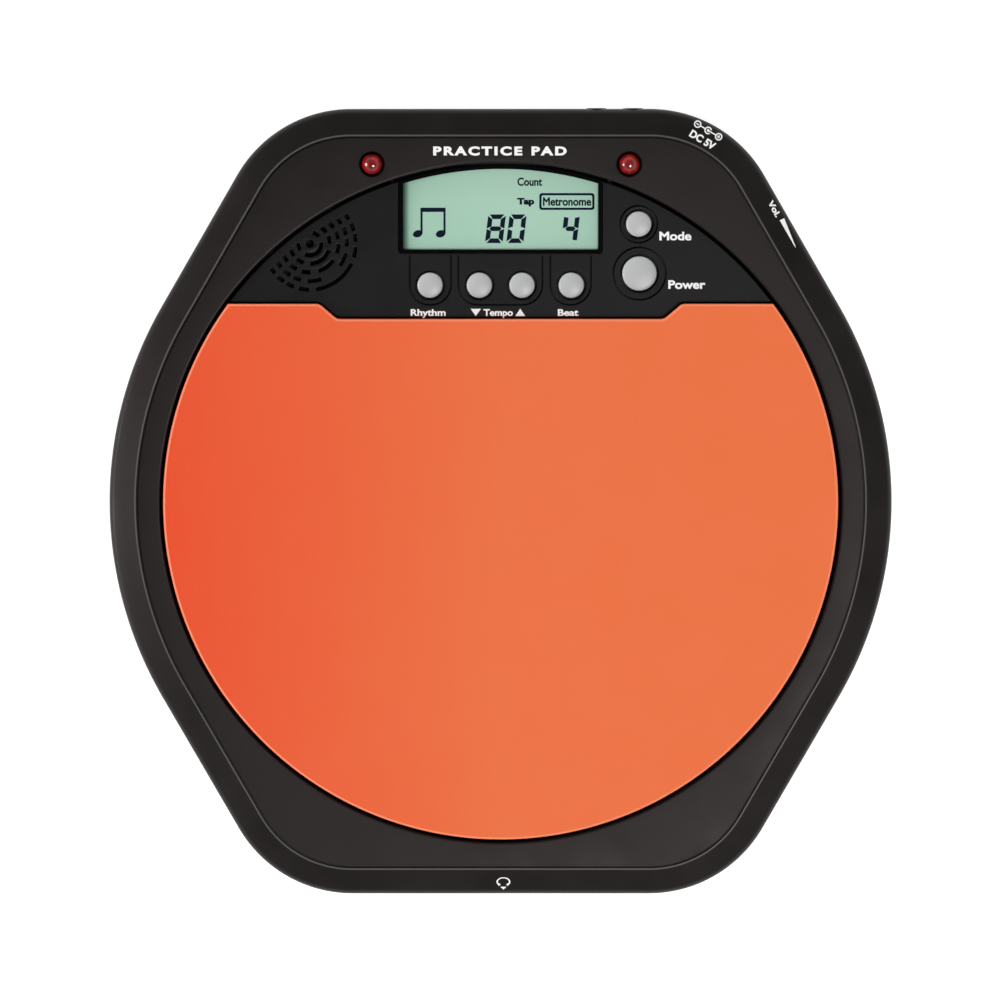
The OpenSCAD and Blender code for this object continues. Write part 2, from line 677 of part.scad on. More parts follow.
// Routes of the insulated leads inside the case
lead_r = 1;
lead_steps = 3;
lead_up = [0.3, 0.2, 1];
piezo_route = [[0, 14, 20], [0, 14, 17], [1, 15, 13.5], [4, 22, 11], [8, 36, 9.5],
    [10, 52, 9.5], [10, 64, 9.8], [10, 73, 10.9]];
speaker_route = [[-52, 82, 11], [-49, 80, 9], [-45, 79, 8.6], [-41, 80, 9.4], [-38, 82, 10.9]];
battery_route = [[28.1, -30, 10], [33, -28, 9.6], [37, -18, 9], [38, 0, 9], [37, 24, 9],
    [35, 46, 9], [33, 62, 9.4], [32, 73, 10.9]];
phones_route = [[0, -120.9, 8], [-2, -116, 8.6], [-14, -106, 9], [-32, -90, 9], [-42, -66, 9],
    [-44, -36, 9], [-44, 0, 9], [-42, 34, 9], [-38, 58, 9.2], [-34, 73, 10.9]];
io_route = [[66, 118, 7.1], [62, 116, 8.4], [58, 111, 8.8], [54, 106, 9.4], [50, 103, 10.9]];

module lead(p, across) bar(route(p, lead_steps), lead_r, across);
module piezo_lead() color(wire_red) lead(piezo_route, [0.9, 0.05, 0.1]);
module speaker_lead() color(wire_red) lead(speaker_route, [0.1, 1, 0.1]);
module battery_lead() color(wire_red) lead(battery_route, lead_up);
module phones_lead() color(wire_red) lead(phones_route, lead_up);
module io_lead() color(wire_red) lead(io_route, lead_up);

top_case();
bottom_case();
control_panel();
lcd_lens();
lcd_glass();
lcd_holder();
lcd_reflector();
zebra_strip();
main_board();
main_chip();
board_capacitors();
tact_switches();
rhythm_button();
tempo_down_button();
tempo_up_button();
beat_button();
mode_button();
power_button();
rhythm_plunger();
tempo_down_plunger();
tempo_up_plunger();
beat_plunger();
mode_plunger();
power_plunger();
left_led();
right_led();
speaker_frame();
speaker_magnet();
speaker_cone();
speaker_cap();
drum_pad();
pad_plate();
foam_damper();
piezo_disc();
piezo_ceramic();
volume_wheel();
volume_shaft();
volume_pot();
wheel_screw();
io_board();
dc_jack();
dc_jack_pin();
phones_board();
headphone_jack();
battery_door();
battery_cells();
battery_springs();
battery_plates();
rubber_feet();
case_screws();
board_screws();
panel_screws();
piezo_lead();
speaker_lead();
battery_lead();
phones_lead();
io_lead();
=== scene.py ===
"""Looks of the practice pad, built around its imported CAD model. Lengths are in millimetres
until a mesh is made, and the object's own frame is kept throughout."""

import math
import bmesh
import bpy
from mathutils import Matrix, Vector


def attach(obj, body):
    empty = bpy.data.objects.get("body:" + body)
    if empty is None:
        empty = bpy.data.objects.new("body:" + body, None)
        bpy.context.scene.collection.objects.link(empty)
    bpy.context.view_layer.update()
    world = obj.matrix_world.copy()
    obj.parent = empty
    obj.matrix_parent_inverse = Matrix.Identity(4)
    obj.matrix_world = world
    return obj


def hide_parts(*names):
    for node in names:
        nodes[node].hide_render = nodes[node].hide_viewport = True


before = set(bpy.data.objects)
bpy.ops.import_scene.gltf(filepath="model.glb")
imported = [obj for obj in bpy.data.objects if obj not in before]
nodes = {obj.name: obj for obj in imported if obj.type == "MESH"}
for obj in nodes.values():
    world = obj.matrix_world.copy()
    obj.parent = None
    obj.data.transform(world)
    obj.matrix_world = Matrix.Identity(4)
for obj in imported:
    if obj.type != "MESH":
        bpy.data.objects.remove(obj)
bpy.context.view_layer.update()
scene = bpy.context.scene
MM = 0.001

# ---- Sizes that part.scad gives the object -------------------------------------------------
# Outline: two wide arcs, four slanting flats, two straight ends and four rounded corners
BODY_R, CORNER_R, FLAT_LEN, FLAT_ANGLE = 140.0, 47.0, 54.5, 30.0
# Levels, from the bottom up
FLOOR_Z, FOOT_TOP, JACK_Z, PARTING_Z, BAY_TOP = 2.0, 2.6, 9.0, 13.4, 15.1
WELL_Z, LCD_TOP, PANEL_Z, PLATE_Z = 16.0, 19.9, 22.5, 25.0
RIDGE_Z, PAD_Z, LED_TOP = 25.6, 26.5, 26.9
# Sloping band round the top, the well inside it, and the rubber and panel in the well
BAND_W, BAND_SLOPE, EDGE_R = 9.7, 20.0, 3.0
WELL_R, PAD_R, EDGE_GAP = 121.7, 120.5, 0.25
# The panel's front edge lies at FRONT_Y outside FRONT_OUT_X, at FRONT_MID_Y inside FRONT_MID_X
FRONT_Y, FRONT_MID_Y, FRONT_MID_X, FRONT_OUT_X = 71.6, 66.2, 58.2, 64.5
BUTTON_R, POWER_R, BUTTON_GAP, ROW_Y = 4.5, 6.1, 0.4, 77.9
BUTTONS = {"rhythm": (-25.2, ROW_Y), "tempo_down": (-7.6, ROW_Y), "tempo_up": (7.6, ROW_Y),
           "beat": (25.2, ROW_Y), "mode": (49.2, 99.7), "power": (49.5, 82.1)}
LED_AT, LED_R, LED_HOLE_R = (45.8, 121.0), 3.55, 4.3
# Grille: rings of slots, each with its radius, its long slots' spans and its dashes' middles,
# in degrees from the grille's own axis
SPEAKER_AT, GRILLE_TURN, GRILLE_HOLE_R = (-68.0, 92.7), -54.0, 1.45
GRILLE_W, GRILLE_CLIP_R, DASH_LEN = 1.35, 117.6, 2.7
GRILLE_RINGS = [(4.1, [(-60, 60)], [113]), (7.1, [(-35, 35)], [65.6, 100]),
                (10.2, [(-18.5, 18.5), (35, 53), (-53, -35)], [71, 96]),
                (13.25, [(18, 39), (-39, -18)], [56, 74, 93]),
                (16.35, [(-28.5, 28.5), (37, 50), (-50, -37)], [61.5, 75.4, 91])]
BAY_Y, BAY_HALF_X, BAY_HALF_Y, BAY_WALL = -30.0, 25.5, 17.0, 1.5
DOOR_HALF_X, DOOR_HALF_Y, DOOR_GAP, DOOR_TOP = 29.0, 20.0, 0.2, 4.0
CASE_SCREWS = [(24, 128.5), (-24, 128.5), (127, 18), (-127, 18), (75, -112), (-75, -112)]
FEET = [(75, 95), (-75, 95), (118, 0), (-118, 0), (75, -92), (-75, -92)]
FOOT_R, SCREW_HOLE_R, NOSE_R, DC_ANGLE, WHEEL_ALONG = 8.0, 3.2, 2.9, 60.0, 33.0
NIBS_X, NIB_Z = (34.2, 47.2), 17.6

# ---- Sizes that only the visual model has --------------------------------------------------
SHARP_ANGLE = 32.0
# Where, in degrees, a near-black ledge of painted shade closes the gap between the panel and the
# well
LEDGE_SPANS = [(38, 70.8), (109.2, 114), (138, 142)]
# Openings of the display: half width, front edge, radius of the rear edge, corner radius
WINDOW = (36.6, 89.2, 119.7, 1.4)
WINDOW_IN = (34.8, 90.6, 119.3, 0.6)
LENS = (34.9, 90.5, 119.4, 0.6)
MASK_IN = (34.9, 90.5, 119.35, 0.6)
# The display's glass and the mask on it, each as (x0, x1, y0, y1)
GLASS = (-37.6, 37.6, 87.4, 119.9)
MASK_OUT = (-37.9, 37.9, 87.1, 120.4)
GAP_EXTRA, GROOVE_W, GROOVE_DEPTH = 0.35, 0.7, 2.1
RING_GROOVES = {"mode": 6.25, "power": 9.0}
U_GROOVES = [(-32.8, -17.4), (-15.5, 15.2), (17.3, 32.5)]
# Thickness of printed marks, how deep the display's sink in, and how high the band's stand
INK, INK_SINK, BAND_LIFT = 0.04, 0.01, 0.03


def polar(r, a):
    return Vector((r * math.cos(math.radians(a)), r * math.sin(math.radians(a))))


CORNER = polar(BODY_R - CORNER_R, FLAT_ANGLE) + polar(FLAT_LEN, FLAT_ANGLE + 90)
EDGE_Y = CORNER.y + CORNER_R


# ---- Outlines ------------------------------------------------------------------------------
def turn_angles(steps):
    """Even steps of a whole turn, in radians."""
    return [2 * math.pi * k / steps for k in range(steps)]


def arc(centre, r, a0, a1, steps):
    """Points on an arc from a0 to a1 degrees, with both its ends."""
    return [Vector(centre) + polar(r, a0 + (a1 - a0) * k / steps) for k in range(steps + 1)]


def circle(at, r, steps=72):
    return arc(at, r, 0, 360, steps)[:-1]


def rect(x0, x1, y0, y1):
    return [Vector(p) for p in ((x0, y0), (x1, y0), (x1, y1), (x0, y1))]


def rounded_rect(x0, x1, y0, y1, r):
    corners = ((x0 + r, y0 + r, 180), (x1 - r, y0 + r, 270), (x1 - r, y1 - r, 0),
               (x0 + r, y1 - r, 90))
    return [p for x, y, a in corners for p in arc((x, y), r, a, a + 90, 5)]


def arc_band(centre, r, w, a0, a1, steps=40):
    """Outline of a bar of width w, bent along an arc."""
    return arc(centre, r + w / 2, a0, a1, steps) + arc(centre, r - w / 2, a1, a0, steps)


def case_outline():
    """(point, outward direction) round the case."""
    # Centre, radius, start and end angle and steps of each arc, then points on the next flat
    arcs = [((0.0, 0.0), BODY_R, -FLAT_ANGLE, FLAT_ANGLE, 48, 20),
            (CORNER, CORNER_R, FLAT_ANGLE, 90.0, 32, 32),
            ((-CORNER.x, CORNER.y), CORNER_R, 90.0, 180.0 - FLAT_ANGLE, 32, 20)]
    half = []
    for centre, radius, a0, a1, steps, between in arcs:
        for u in arc((0, 0), 1, a0, a1, steps):
            half.append((Vector(centre) + radius * u, u))
        half.append(between)
    half.append((polar(-BODY_R, -FLAT_ANGLE), -polar(1, -FLAT_ANGLE)))
    samples = []
    for i, item in enumerate(half[:-1]):
        if isinstance(item, int):
            (p, u), (q, _) = half[i - 1], half[i + 1]
            samples += [(p.lerp(q, k / (item + 1)), u) for k in range(1, item + 1)]
        else:
            samples.append(item)
    return samples + [(-p, -u) for p, u in samples]


OUTLINE = case_outline()


def ring_in(inset, z):
    """The case's outline, drawn in by inset."""
    return [(p.x - inset * u.x, p.y - inset * u.y, z) for p, u in OUTLINE]


def ring_circle(r, z):
    """A circle with its points in the same directions as the outline's."""
    return [(*(p.normalized() * r), z) for p, _ in OUTLINE]


def inset_at(x, y):
    """How far a point lies in from the outline."""
    return min((p - Vector((x, y))).dot(u) for p, u in OUTLINE)


SLOPE = math.radians(BAND_SLOPE)
# Where the rounded outer edge of the band meets the slope, and the height of the edge's centre
EDGE_IN = EDGE_R * (1 - math.sin(SLOPE))
EDGE_MID_Z = RIDGE_Z - (BAND_W - EDGE_IN) * math.tan(SLOPE) - EDGE_R * math.cos(SLOPE)


def band_z(inset):
    """Height of the sloping band."""
    if inset >= EDGE_IN:
        return RIDGE_Z - (BAND_W - inset) * math.tan(SLOPE)
    return EDGE_MID_Z + math.sqrt(max(0.0, EDGE_R ** 2 - (EDGE_R - inset) ** 2))


def pad_loop(g, r, d, low=True):
    """Outline of the player's side (or the display's side) of a disc, drawn in by d. The
    panel's front edge lies back by g, and its corners are rounded."""
    turn = math.atan2(FRONT_Y - FRONT_MID_Y, FRONT_OUT_X - FRONT_MID_X)
    shift = (g - d) if low else (g + d)
    k = shift * math.tan(turn / 2)
    r = r - d
    xe = math.sqrt(r * r - (FRONT_Y + shift) ** 2)
    corners = [Vector((-xe, FRONT_Y + shift)), Vector((k - FRONT_OUT_X, FRONT_Y + shift)),
               Vector((k - FRONT_MID_X, FRONT_MID_Y + shift)),
               Vector((FRONT_MID_X - k, FRONT_MID_Y + shift)),
               Vector((FRONT_OUT_X - k, FRONT_Y + shift)), Vector((xe, FRONT_Y + shift))]
    round_off, round_steps = 1.3, 6
    points = corners[:1]
    for before, p, after in zip(corners, corners[1:], corners[2:]):
        start = p + (before - p).normalized() * round_off
        end = p + (after - p).normalized() * round_off
        for s in range(round_steps + 1):
            t = s / round_steps
            points.append((1 - t) ** 2 * start + 2 * t * (1 - t) * p + t * t * end)
    points.append(corners[-1])
    a0 = math.degrees(math.atan2(FRONT_Y + shift, xe))
    a1 = 180 - a0 - (360 if low else 0)
    return points + arc((0, 0), r, a0, a1, 260 if low else 130)[1:-1]


def window_loop(half, front, rear_r, corner):
    """Display opening: straight sides and front, its rear edge on an arc."""
    points = []
    for side, start in ((-1, 180), (1, 270)):
        points += arc((side * (half - corner), front + corner), corner, start, start + 90, 6)
    a0 = math.degrees(math.acos(half / rear_r))
    return points + arc((0, 0), rear_r, a0, 180 - a0, 60)


def u_groove(x0, x1, y0, y1, radius, w):
    """Band of width w down one side, round the bottom and up the other."""
    def path(d):
        return ([Vector((x0 + d, y1))] + arc((x0 + radius, y0 + radius), radius - d, 180, 270, 12)
                + arc((x1 - radius, y0 + radius), radius - d, 270, 360, 12)
                + [Vector((x1 - d, y1))])
    return path(0.0) + list(reversed(path(w)))


def grille_slot(r, a0, a1):
    """Curved slot, cut short by the panel's edge; None where it is all outside."""
    steps = max(4, int((a1 - a0) / 2))
    spin = Matrix.Rotation(math.radians(GRILLE_TURN), 2)

    def place(radius, angle):
        return Vector(SPEAKER_AT) + spin @ polar(radius, angle)

    kept = [a for a in (a0 + (a1 - a0) * k / steps for k in range(steps + 1))
            if place(r, a).length < GRILLE_CLIP_R]
    if len(kept) < 2:
        return None
    return ([place(r + GRILLE_W / 2, a) for a in kept]
            + [place(r - GRILLE_W / 2, a) for a in reversed(kept)])


def grille_loops():
    loops = [circle(SPEAKER_AT, GRILLE_HOLE_R, 32)]
    for r, arcs, middles in GRILLE_RINGS:
        dash = math.degrees(math.asin(DASH_LEN / 2 / r))
        spans = arcs + [(s * m - dash, s * m + dash) for m in middles for s in (-1, 1)]
        loops += [loop for loop in (grille_slot(r, a, b) for a, b in spans) if loop]
    return loops


# ---- Meshes --------------------------------------------------------------------------------
def linked(name, data):
    """A new object in the scene."""
    obj = bpy.data.objects.new(name, data)
    scene.collection.objects.link(obj)
    return obj


def finish_mesh(obj, sharp=SHARP_ANGLE):
    obj.data.shade_smooth()
    obj.data.set_sharp_from_angle(angle=math.radians(sharp))
    return obj


def mesh_object(name, verts, faces, sharp=SHARP_ANGLE):
    mesh = bpy.data.meshes.new(name)
    mesh.from_pydata([Vector(v) * MM for v in verts], [], faces)
    mesh.validate()
    bm = bmesh.new()
    bm.from_mesh(mesh)
    bmesh.ops.recalc_face_normals(bm, faces=bm.faces)
    bm.to_mesh(mesh)
    bm.free()
    return finish_mesh(linked(name, mesh), sharp)


def loft(name, rings, closed=False, sharp=SHARP_ANGLE):
    """Rings of equal length joined one to the next, with n-gon caps, or closed on itself."""
    n, count = len(rings[0]), len(rings)
    verts = [p for ring in rings for p in ring]
    faces = []
    for j in range(count if closed else count - 1):
        a, b = j * n, ((j + 1) % count) * n
        faces += [(a + i, a + (i + 1) % n, b + (i + 1) % n, b + i) for i in range(n)]
    if not closed:
        faces += [tuple(range(n)), tuple(range((count - 1) * n, count * n))]
    return mesh_object(name, verts, faces, sharp)


def lathe(name, profile, at, steps=64):
    """Profile of (radius, z) turned about the upright line through at."""
    verts, faces, rows = [], [], []
    for r, z in profile:
        if r == 0:
            rows.append([len(verts)] * steps)
            verts.append((at[0], at[1], z))
        else:
            rows.append(list(range(len(verts), len(verts) + steps)))
            verts += [(at[0] + r * math.cos(a), at[1] + r * math.sin(a), z)
                      for a in turn_angles(steps)]
    for a, b in zip(rows, rows[1:]):
        for k in range(steps):
            m = (k + 1) % steps
            # A row on the axis is one point, so that its faces have three corners
            face = tuple(dict.fromkeys((a[k], a[m], b[m], b[k])))
            if len(face) > 2:
                faces.append(face)
    faces += [tuple(rows[end]) for end in (0, -1) if profile[end][0] > 0]
    return mesh_object(name, verts, faces)


def box_object(name, x0, x1, y0, y1, z0, z1, turn=0.0):
    spin = Matrix.Rotation(math.radians(turn), 3, "Z")
    verts = [spin @ Vector((*p, z)) for z in (z0, z1) for p in rect(x0, x1, y0, y1)]
    faces = [(0, 1, 2, 3), (4, 5, 6, 7), (0, 1, 5, 4), (1, 2, 6, 5), (2, 3, 7, 6), (3, 0, 4, 7)]
    return mesh_object(name, verts, faces)


def tube_along(name, start, end, radius, steps=48):
    """Round bar from start to end."""
    start, end = Vector(start), Vector(end)
    turn = (end - start).to_track_quat("Z", "Y")
    ring = [turn @ Vector((radius * math.cos(a), radius * math.sin(a), 0))
            for a in turn_angles(steps)]
    return loft(name, [[start + p for p in ring], [end + p for p in ring]])


def take_mesh(obj):
    """The object as a new mesh, with its modifiers applied."""
    bpy.context.view_layer.update()
    graph = bpy.context.evaluated_depsgraph_get()
    return bpy.data.meshes.new_from_object(obj.evaluated_get(graph), depsgraph=graph)


def flat_shape(name, loops, z0, z1, bevel=0.0, steps=2):
    """Filled outline with holes, made z1 - z0 thick, its edges rounded by bevel."""
    curve = bpy.data.curves.new(name, "CURVE")
    curve.dimensions = "2D"
    curve.fill_mode = "BOTH"
    for loop in loops:
        spline = curve.splines.new("POLY")
        spline.points.add(len(loop) - 1)
        for point, (x, y) in zip(spline.points, loop):
            point.co = (x * MM, y * MM, 0, 1)
        spline.use_cyclic_u = True
    curve.extrude = ((z1 - z0) / 2 - bevel) * MM
    curve.bevel_depth = bevel * MM
    curve.bevel_resolution = steps
    curve.offset = -bevel * MM
    drawn = linked(name, curve)
    drawn.location.z = (z0 + z1) / 2 * MM
    mesh = take_mesh(drawn)
    mesh.transform(drawn.matrix_world)
    bpy.data.objects.remove(drawn)
    return finish_mesh(linked(name, mesh))


def boolean(obj, other, operation="DIFFERENCE"):
    """Cuts other out of obj, or joins the two, and deletes other."""
    mod = obj.modifiers.new("boolean", "BOOLEAN")
    mod.object = other
    mod.operation = operation
    mod.solver = "EXACT"
    mesh = take_mesh(obj)
    obj.modifiers.clear()
    obj.data = mesh
    bpy.data.objects.remove(other)
    finish_mesh(obj)


def joined(name, objs):
    """One object of several meshes."""
    mesh = bpy.data.meshes.new(name)
    bm = bmesh.new()
    for obj in objs:
        bm.from_mesh(obj.data)
    bm.to_mesh(mesh)
    bm.free()
    for obj in objs:
        bpy.data.objects.remove(obj)
    return finish_mesh(linked(name, mesh))


def subdivide(obj, cuts):
    bm = bmesh.new()
    bm.from_mesh(obj.data)
    bmesh.ops.triangulate(bm, faces=bm.faces)
    bmesh.ops.subdivide_edges(bm, edges=bm.edges, cuts=cuts, use_grid_fill=True)
    bm.to_mesh(obj.data)
    bm.free()


def paint_edge_highlight(obj, per_ring, rings):
    """Marks the given rings of a loft for a painted highlight, which the material shows lighter.
    """
    marks = obj.data.attributes.new("edge", "FLOAT", "POINT")
    for ring in rings:
        for i in range(ring * per_ring, (ring + 1) * per_ring):
            marks.data[i].value = 1.0


# ---- Materials -----------------------------------------------------------------------------
def srgb(r, g, b):
    def linear(c):
        c /= 255
        return c / 12.92 if c <= 0.04045 else ((c + 0.055) / 1.055) ** 2.4
    return (linear(r), linear(g), linear(b), 1.0)


class Shader:
    """A node material on Principled BSDF, with object coordinates in metres."""

    def __init__(self, name, **sockets):
        self.material = bpy.data.materials.new(name)
        self.material.use_nodes = True
        self.tree = self.material.node_tree
        self.bsdf = self.tree.nodes["Principled BSDF"]
        places = self.tree.nodes.new("ShaderNodeTexCoord")
        self.coords, self.generated = places.outputs["Object"], places.outputs["Generated"]
        for socket, value in sockets.items():
            self.bsdf.inputs[socket.replace("_", " ")].default_value = value

    def node(self, kind, inputs=None, **settings):
        node = self.tree.nodes.new(kind)
        for key, value in settings.items():
            setattr(node, key, value)
        for key, value in (inputs or {}).items():
            if isinstance(value, bpy.types.NodeSocket):
                self.tree.links.new(value, node.inputs[key])
            else:
                node.inputs[key].default_value = value
        return node

    def noise(self, scale, detail=3.0, roughness=0.5, coords=None):
        node = self.node("ShaderNodeTexNoise",
                         {"Vector": coords or self.coords, "Scale": scale, "Detail": detail,
                          "Roughness": roughness})
        return node.outputs["Fac"]

    def ramp(self, fac, stops):
        node = self.node("ShaderNodeValToRGB", {"Fac": fac})
        elements = node.color_ramp.elements
        while len(elements) < len(stops):
            elements.new(0.5)
        for element, (place, colour) in zip(elements, stops):
            element.position = place
            element.color = colour
        return node.outputs["Color"]

    def map(self, value, low, high, to_low, to_high):
        node = self.node("ShaderNodeMapRange",
                         {"Value": value, "From Min": low, "From Max": high,
                          "To Min": to_low, "To Max": to_high})
        return node.outputs["Result"]

    def mix(self, fac, a, b, blend="MIX"):
        node = self.node("ShaderNodeMix", data_type="RGBA", blend_type=blend)
        for socket, value in ((node.inputs[0], fac), (node.inputs[6], a), (node.inputs[7], b)):
            if isinstance(value, bpy.types.NodeSocket):
                self.tree.links.new(value, socket)
            else:
                socket.default_value = value
        return node.outputs[2]

    def attribute(self, name):
        return self.node("ShaderNodeAttribute", attribute_name=name).outputs["Fac"]

    def height(self, low, high):
        """0 below low and 1 above high, both heights in millimetres."""
        split = self.node("ShaderNodeSeparateXYZ", {"Vector": self.coords})
        return self.map(split.outputs["Z"], low * MM, high * MM, 0.0, 1.0)

    def link(self, output, socket):
        self.tree.links.new(output, self.bsdf.inputs[socket])

    def roughness(self, noise, low, high):
        """Roughness from low to high over the span that noise mostly covers."""
        self.link(self.map(noise, 0.3, 0.7, low, high), "Roughness")

    def bump(self, height, strength, distance):
        node = self.node("ShaderNodeBump", {"Height": height, "Strength": strength,
                                            "Distance": distance})
        self.link(node.outputs["Normal"], "Normal")


def shade(colour, k):
    return (*(min(1.0, c * k) for c in colour[:3]), 1.0)


def grained(name, colour, rough, spread=0.12, grain=3500.0, depth=0.00002, edge=None,
            gap_shade=None, painted_sheen=0.0, **sockets):
    """Moulded or cast stuff: soft cloudy colour, fine grain in the surface. Edges marked on the
    mesh take the colour edge, a painted highlight; what lies below the panel takes a dark colour,
    painted shade for the gap round a key; and a painted light makes the piece's upper left
    lighter than its lower right."""
    m = Shader(name, **sockets)
    fine = m.noise(grain, 2.0, 0.6)
    soft = m.noise(60.0, 3.0)
    both = m.mix(0.35, soft, fine)
    base = m.ramp(both, [(0.3, shade(colour, 1 - spread)), (0.7, shade(colour, 1 + spread))])
    # Painted highlight: edges marked on the mesh take the lighter colour
    if edge:
        base = m.mix(m.attribute("edge"), base, edge)
    # Painted light: the upper left of the piece lighter, the lower right darker
    if painted_sheen:
        across = m.node("ShaderNodeSeparateXYZ", {"Vector": m.generated})
        fall = m.node("ShaderNodeMath", {0: across.outputs["X"], 1: across.outputs["Y"]},
                      operation="SUBTRACT").outputs["Value"]
        lit = m.map(fall, -0.6, 0.6, 1 + painted_sheen, 1 - painted_sheen)
        base = m.mix(1.0, base, lit, "MULTIPLY")
    # Painted shade: below the panel, down in the gap round a key, the colour turns dark
    if gap_shade:
        base = m.mix(m.height(PANEL_Z - 1.9, PANEL_Z - 1.2), gap_shade, base)
    m.link(base, "Base Color")
    m.roughness(soft, rough - 0.05, rough + 0.05)
    m.bump(fine, 0.35, depth)
    return m


def rubber_orange():
    """Orange rubber: painted light across the surface, a darker red at the left turning to a
    lighter orange at the right, dusty specks, a fine grain and a painted highlight on its
    marked edge.
    """
    m = Shader("orange_rubber", Specular_IOR_Level=0.35)
    split = m.node("ShaderNodeSeparateXYZ", {"Vector": m.coords})
    # Painted light: darker and redder at the left, lighter to the right, as if lit from the right
    across = m.map(split.outputs["X"], -0.12, 0.12, 0.0, 1.0)
    sway = m.noise(9.0, 2.0)
    place = m.mix(0.12, across, sway)
    base = m.ramp(place, [(0.0, srgb(238, 67, 20)), (0.5, srgb(241, 111, 57)),
                          (1.0, srgb(242, 113, 56))])
    fine = m.noise(2600.0, 2.0, 0.6)
    colour = m.mix(0.06, base, m.ramp(fine, [(0.35, srgb(190, 70, 40)),
                                             (0.65, srgb(255, 160, 120))]))
    # Painted highlight on the rubber's marked rounded edge
    m.link(m.mix(m.attribute("edge"), colour, srgb(255, 142, 100)), "Base Color")
    soft = m.noise(45.0, 3.0)
    m.roughness(soft, 0.56, 0.66)
    m.bump(fine, 0.3, 0.00003)
    return m


def brushed(name, colour, rough):
    """Turned or drawn metal with fine lines."""
    m = Shader(name, Metallic=1.0)
    mapped = m.node("ShaderNodeMapping", {"Vector": m.coords, "Scale": (400.0, 400.0, 6000.0)})
    lines = m.noise(1.0, 3.0, 0.6, mapped.outputs["Vector"])
    m.link(m.ramp(lines, [(0.3, shade(colour, 0.82)), (0.7, shade(colour, 1.08))]), "Base Color")
    m.roughness(lines, rough - 0.07, rough + 0.07)
    m.bump(lines, 0.15, 0.00002)
    return m


def circuit_board(name):
    """Green solder mask over copper tracks."""
    m = Shader(name, Coat_Weight=0.4, Coat_Roughness=0.15)
    tracks = m.node("ShaderNodeTexBrick",
                    {"Vector": m.coords, "Scale": 180.0, "Mortar Size": 0.06,
                     "Color1": srgb(22, 86, 52), "Color2": srgb(28, 98, 58),
                     "Mortar": srgb(60, 128, 74)})
    soft = m.noise(80.0, 3.0)
    m.link(m.mix(0.25, tracks.outputs["Color"],
                 m.ramp(soft, [(0.3, srgb(16, 70, 44)), (0.7, srgb(36, 110, 66))])), "Base Color")
    m.roughness(soft, 0.35, 0.5)
    m.bump(tracks.outputs["Fac"], 0.2, 0.00003)
    return m


def foam(name, colour):
    """Open-celled foam."""
    m = Shader(name)
    cells = m.node("ShaderNodeTexVoronoi", {"Vector": m.coords, "Scale": 900.0})
    m.link(m.ramp(cells.outputs["Distance"], [(0.1, shade(colour, 0.45)), (0.6, colour)]),
           "Base Color")
    m.link(m.map(cells.outputs["Distance"], 0.0, 1.0, 0.85, 0.98), "Roughness")
    m.bump(cells.outputs["Distance"], 0.5, 0.0003)
    return m


def clear_lens():
    """Clear plastic over the display, with a few fine wipe marks."""
    m = Shader("clear_lens", Alpha=0.04, IOR=1.49, Specular_IOR_Level=0.25)
    marks = m.noise(300.0, 4.0, 0.7)
    m.link(m.ramp(marks, [(0.3, srgb(60, 84, 74)), (0.7, srgb(84, 104, 94))]), "Base Color")
    m.link(m.map(marks, 0.35, 0.7, 0.03, 0.1), "Roughness")
    return m


def lcd_green():
    """Grey-green of a reflective display, paler towards its middle and dark along its left
    edge, where the window's side shades it."""
    m = Shader("lcd_green")
    split = m.node("ShaderNodeSeparateXYZ", {"Vector": m.coords})
    across = m.map(split.outputs["X"], -0.035, 0.035, 0.0, 1.0)
    soft = m.noise(55.0, 3.0)
    place = m.mix(0.3, across, soft)
    pale = m.ramp(place, [(0.0, srgb(176, 221, 198)), (0.5, srgb(188, 229, 206)),
                          (1.0, srgb(180, 221, 200))])
    rim = m.map(split.outputs["X"], -0.0345, -0.0326, 0.0, 1.0)
    m.link(m.mix(rim, srgb(34, 88, 62), pale), "Base Color")
    m.roughness(soft, 0.28, 0.36)
    m.bump(m.noise(5000.0, 2.0), 0.1, 0.00001)
    return m


def led_red():
    """Red diffusing plastic, with painted shade darkening its foot down in the hole, and a
    gloss on the top of its dome alone.
    """
    m = Shader("led_red", Coat_Roughness=0.03, Coat_IOR=1.9, IOR=1.45,
               Specular_IOR_Level=0.05)
    soft = m.noise(420.0, 3.0)
    glow = m.ramp(soft, [(0.35, srgb(104, 8, 8)), (0.6, srgb(150, 18, 18))])
    # Painted shade: below the dome the red turns nearly black
    m.link(m.mix(m.height(LED_TOP - 3.2, LED_TOP - 2.0), srgb(22, 6, 6), glow), "Base Color")
    m.roughness(soft, 0.14, 0.24)
    m.link(m.height(LED_TOP - 0.95, LED_TOP - 0.4), "Coat Weight")
    m.bump(soft, 0.02, 0.0001)
    return m


def floor_white():
    """Pale sweep, lit a little from within so that shadows stay soft, and clear from below."""
    m = Shader("floor_white", Emission_Strength=0.8, Emission_Color=(1, 1, 1, 1))
    soft = m.noise(3.0, 3.0)
    m.link(m.ramp(soft, [(0.3, (0.6, 0.6, 0.6, 1)), (0.7, (0.62, 0.62, 0.62, 1))]),
           "Base Color")
    m.roughness(soft, 0.8, 0.9)
    below = m.node("ShaderNodeNewGeometry").outputs["Backfacing"]
    both = m.node("ShaderNodeMixShader", {0: below, 1: m.bsdf.outputs["BSDF"]})
    m.tree.links.new(m.node("ShaderNodeBsdfTransparent").outputs["BSDF"], both.inputs[2])
    m.tree.links.new(both.outputs["Shader"], m.tree.nodes["Material Output"].inputs["Surface"])
    return m


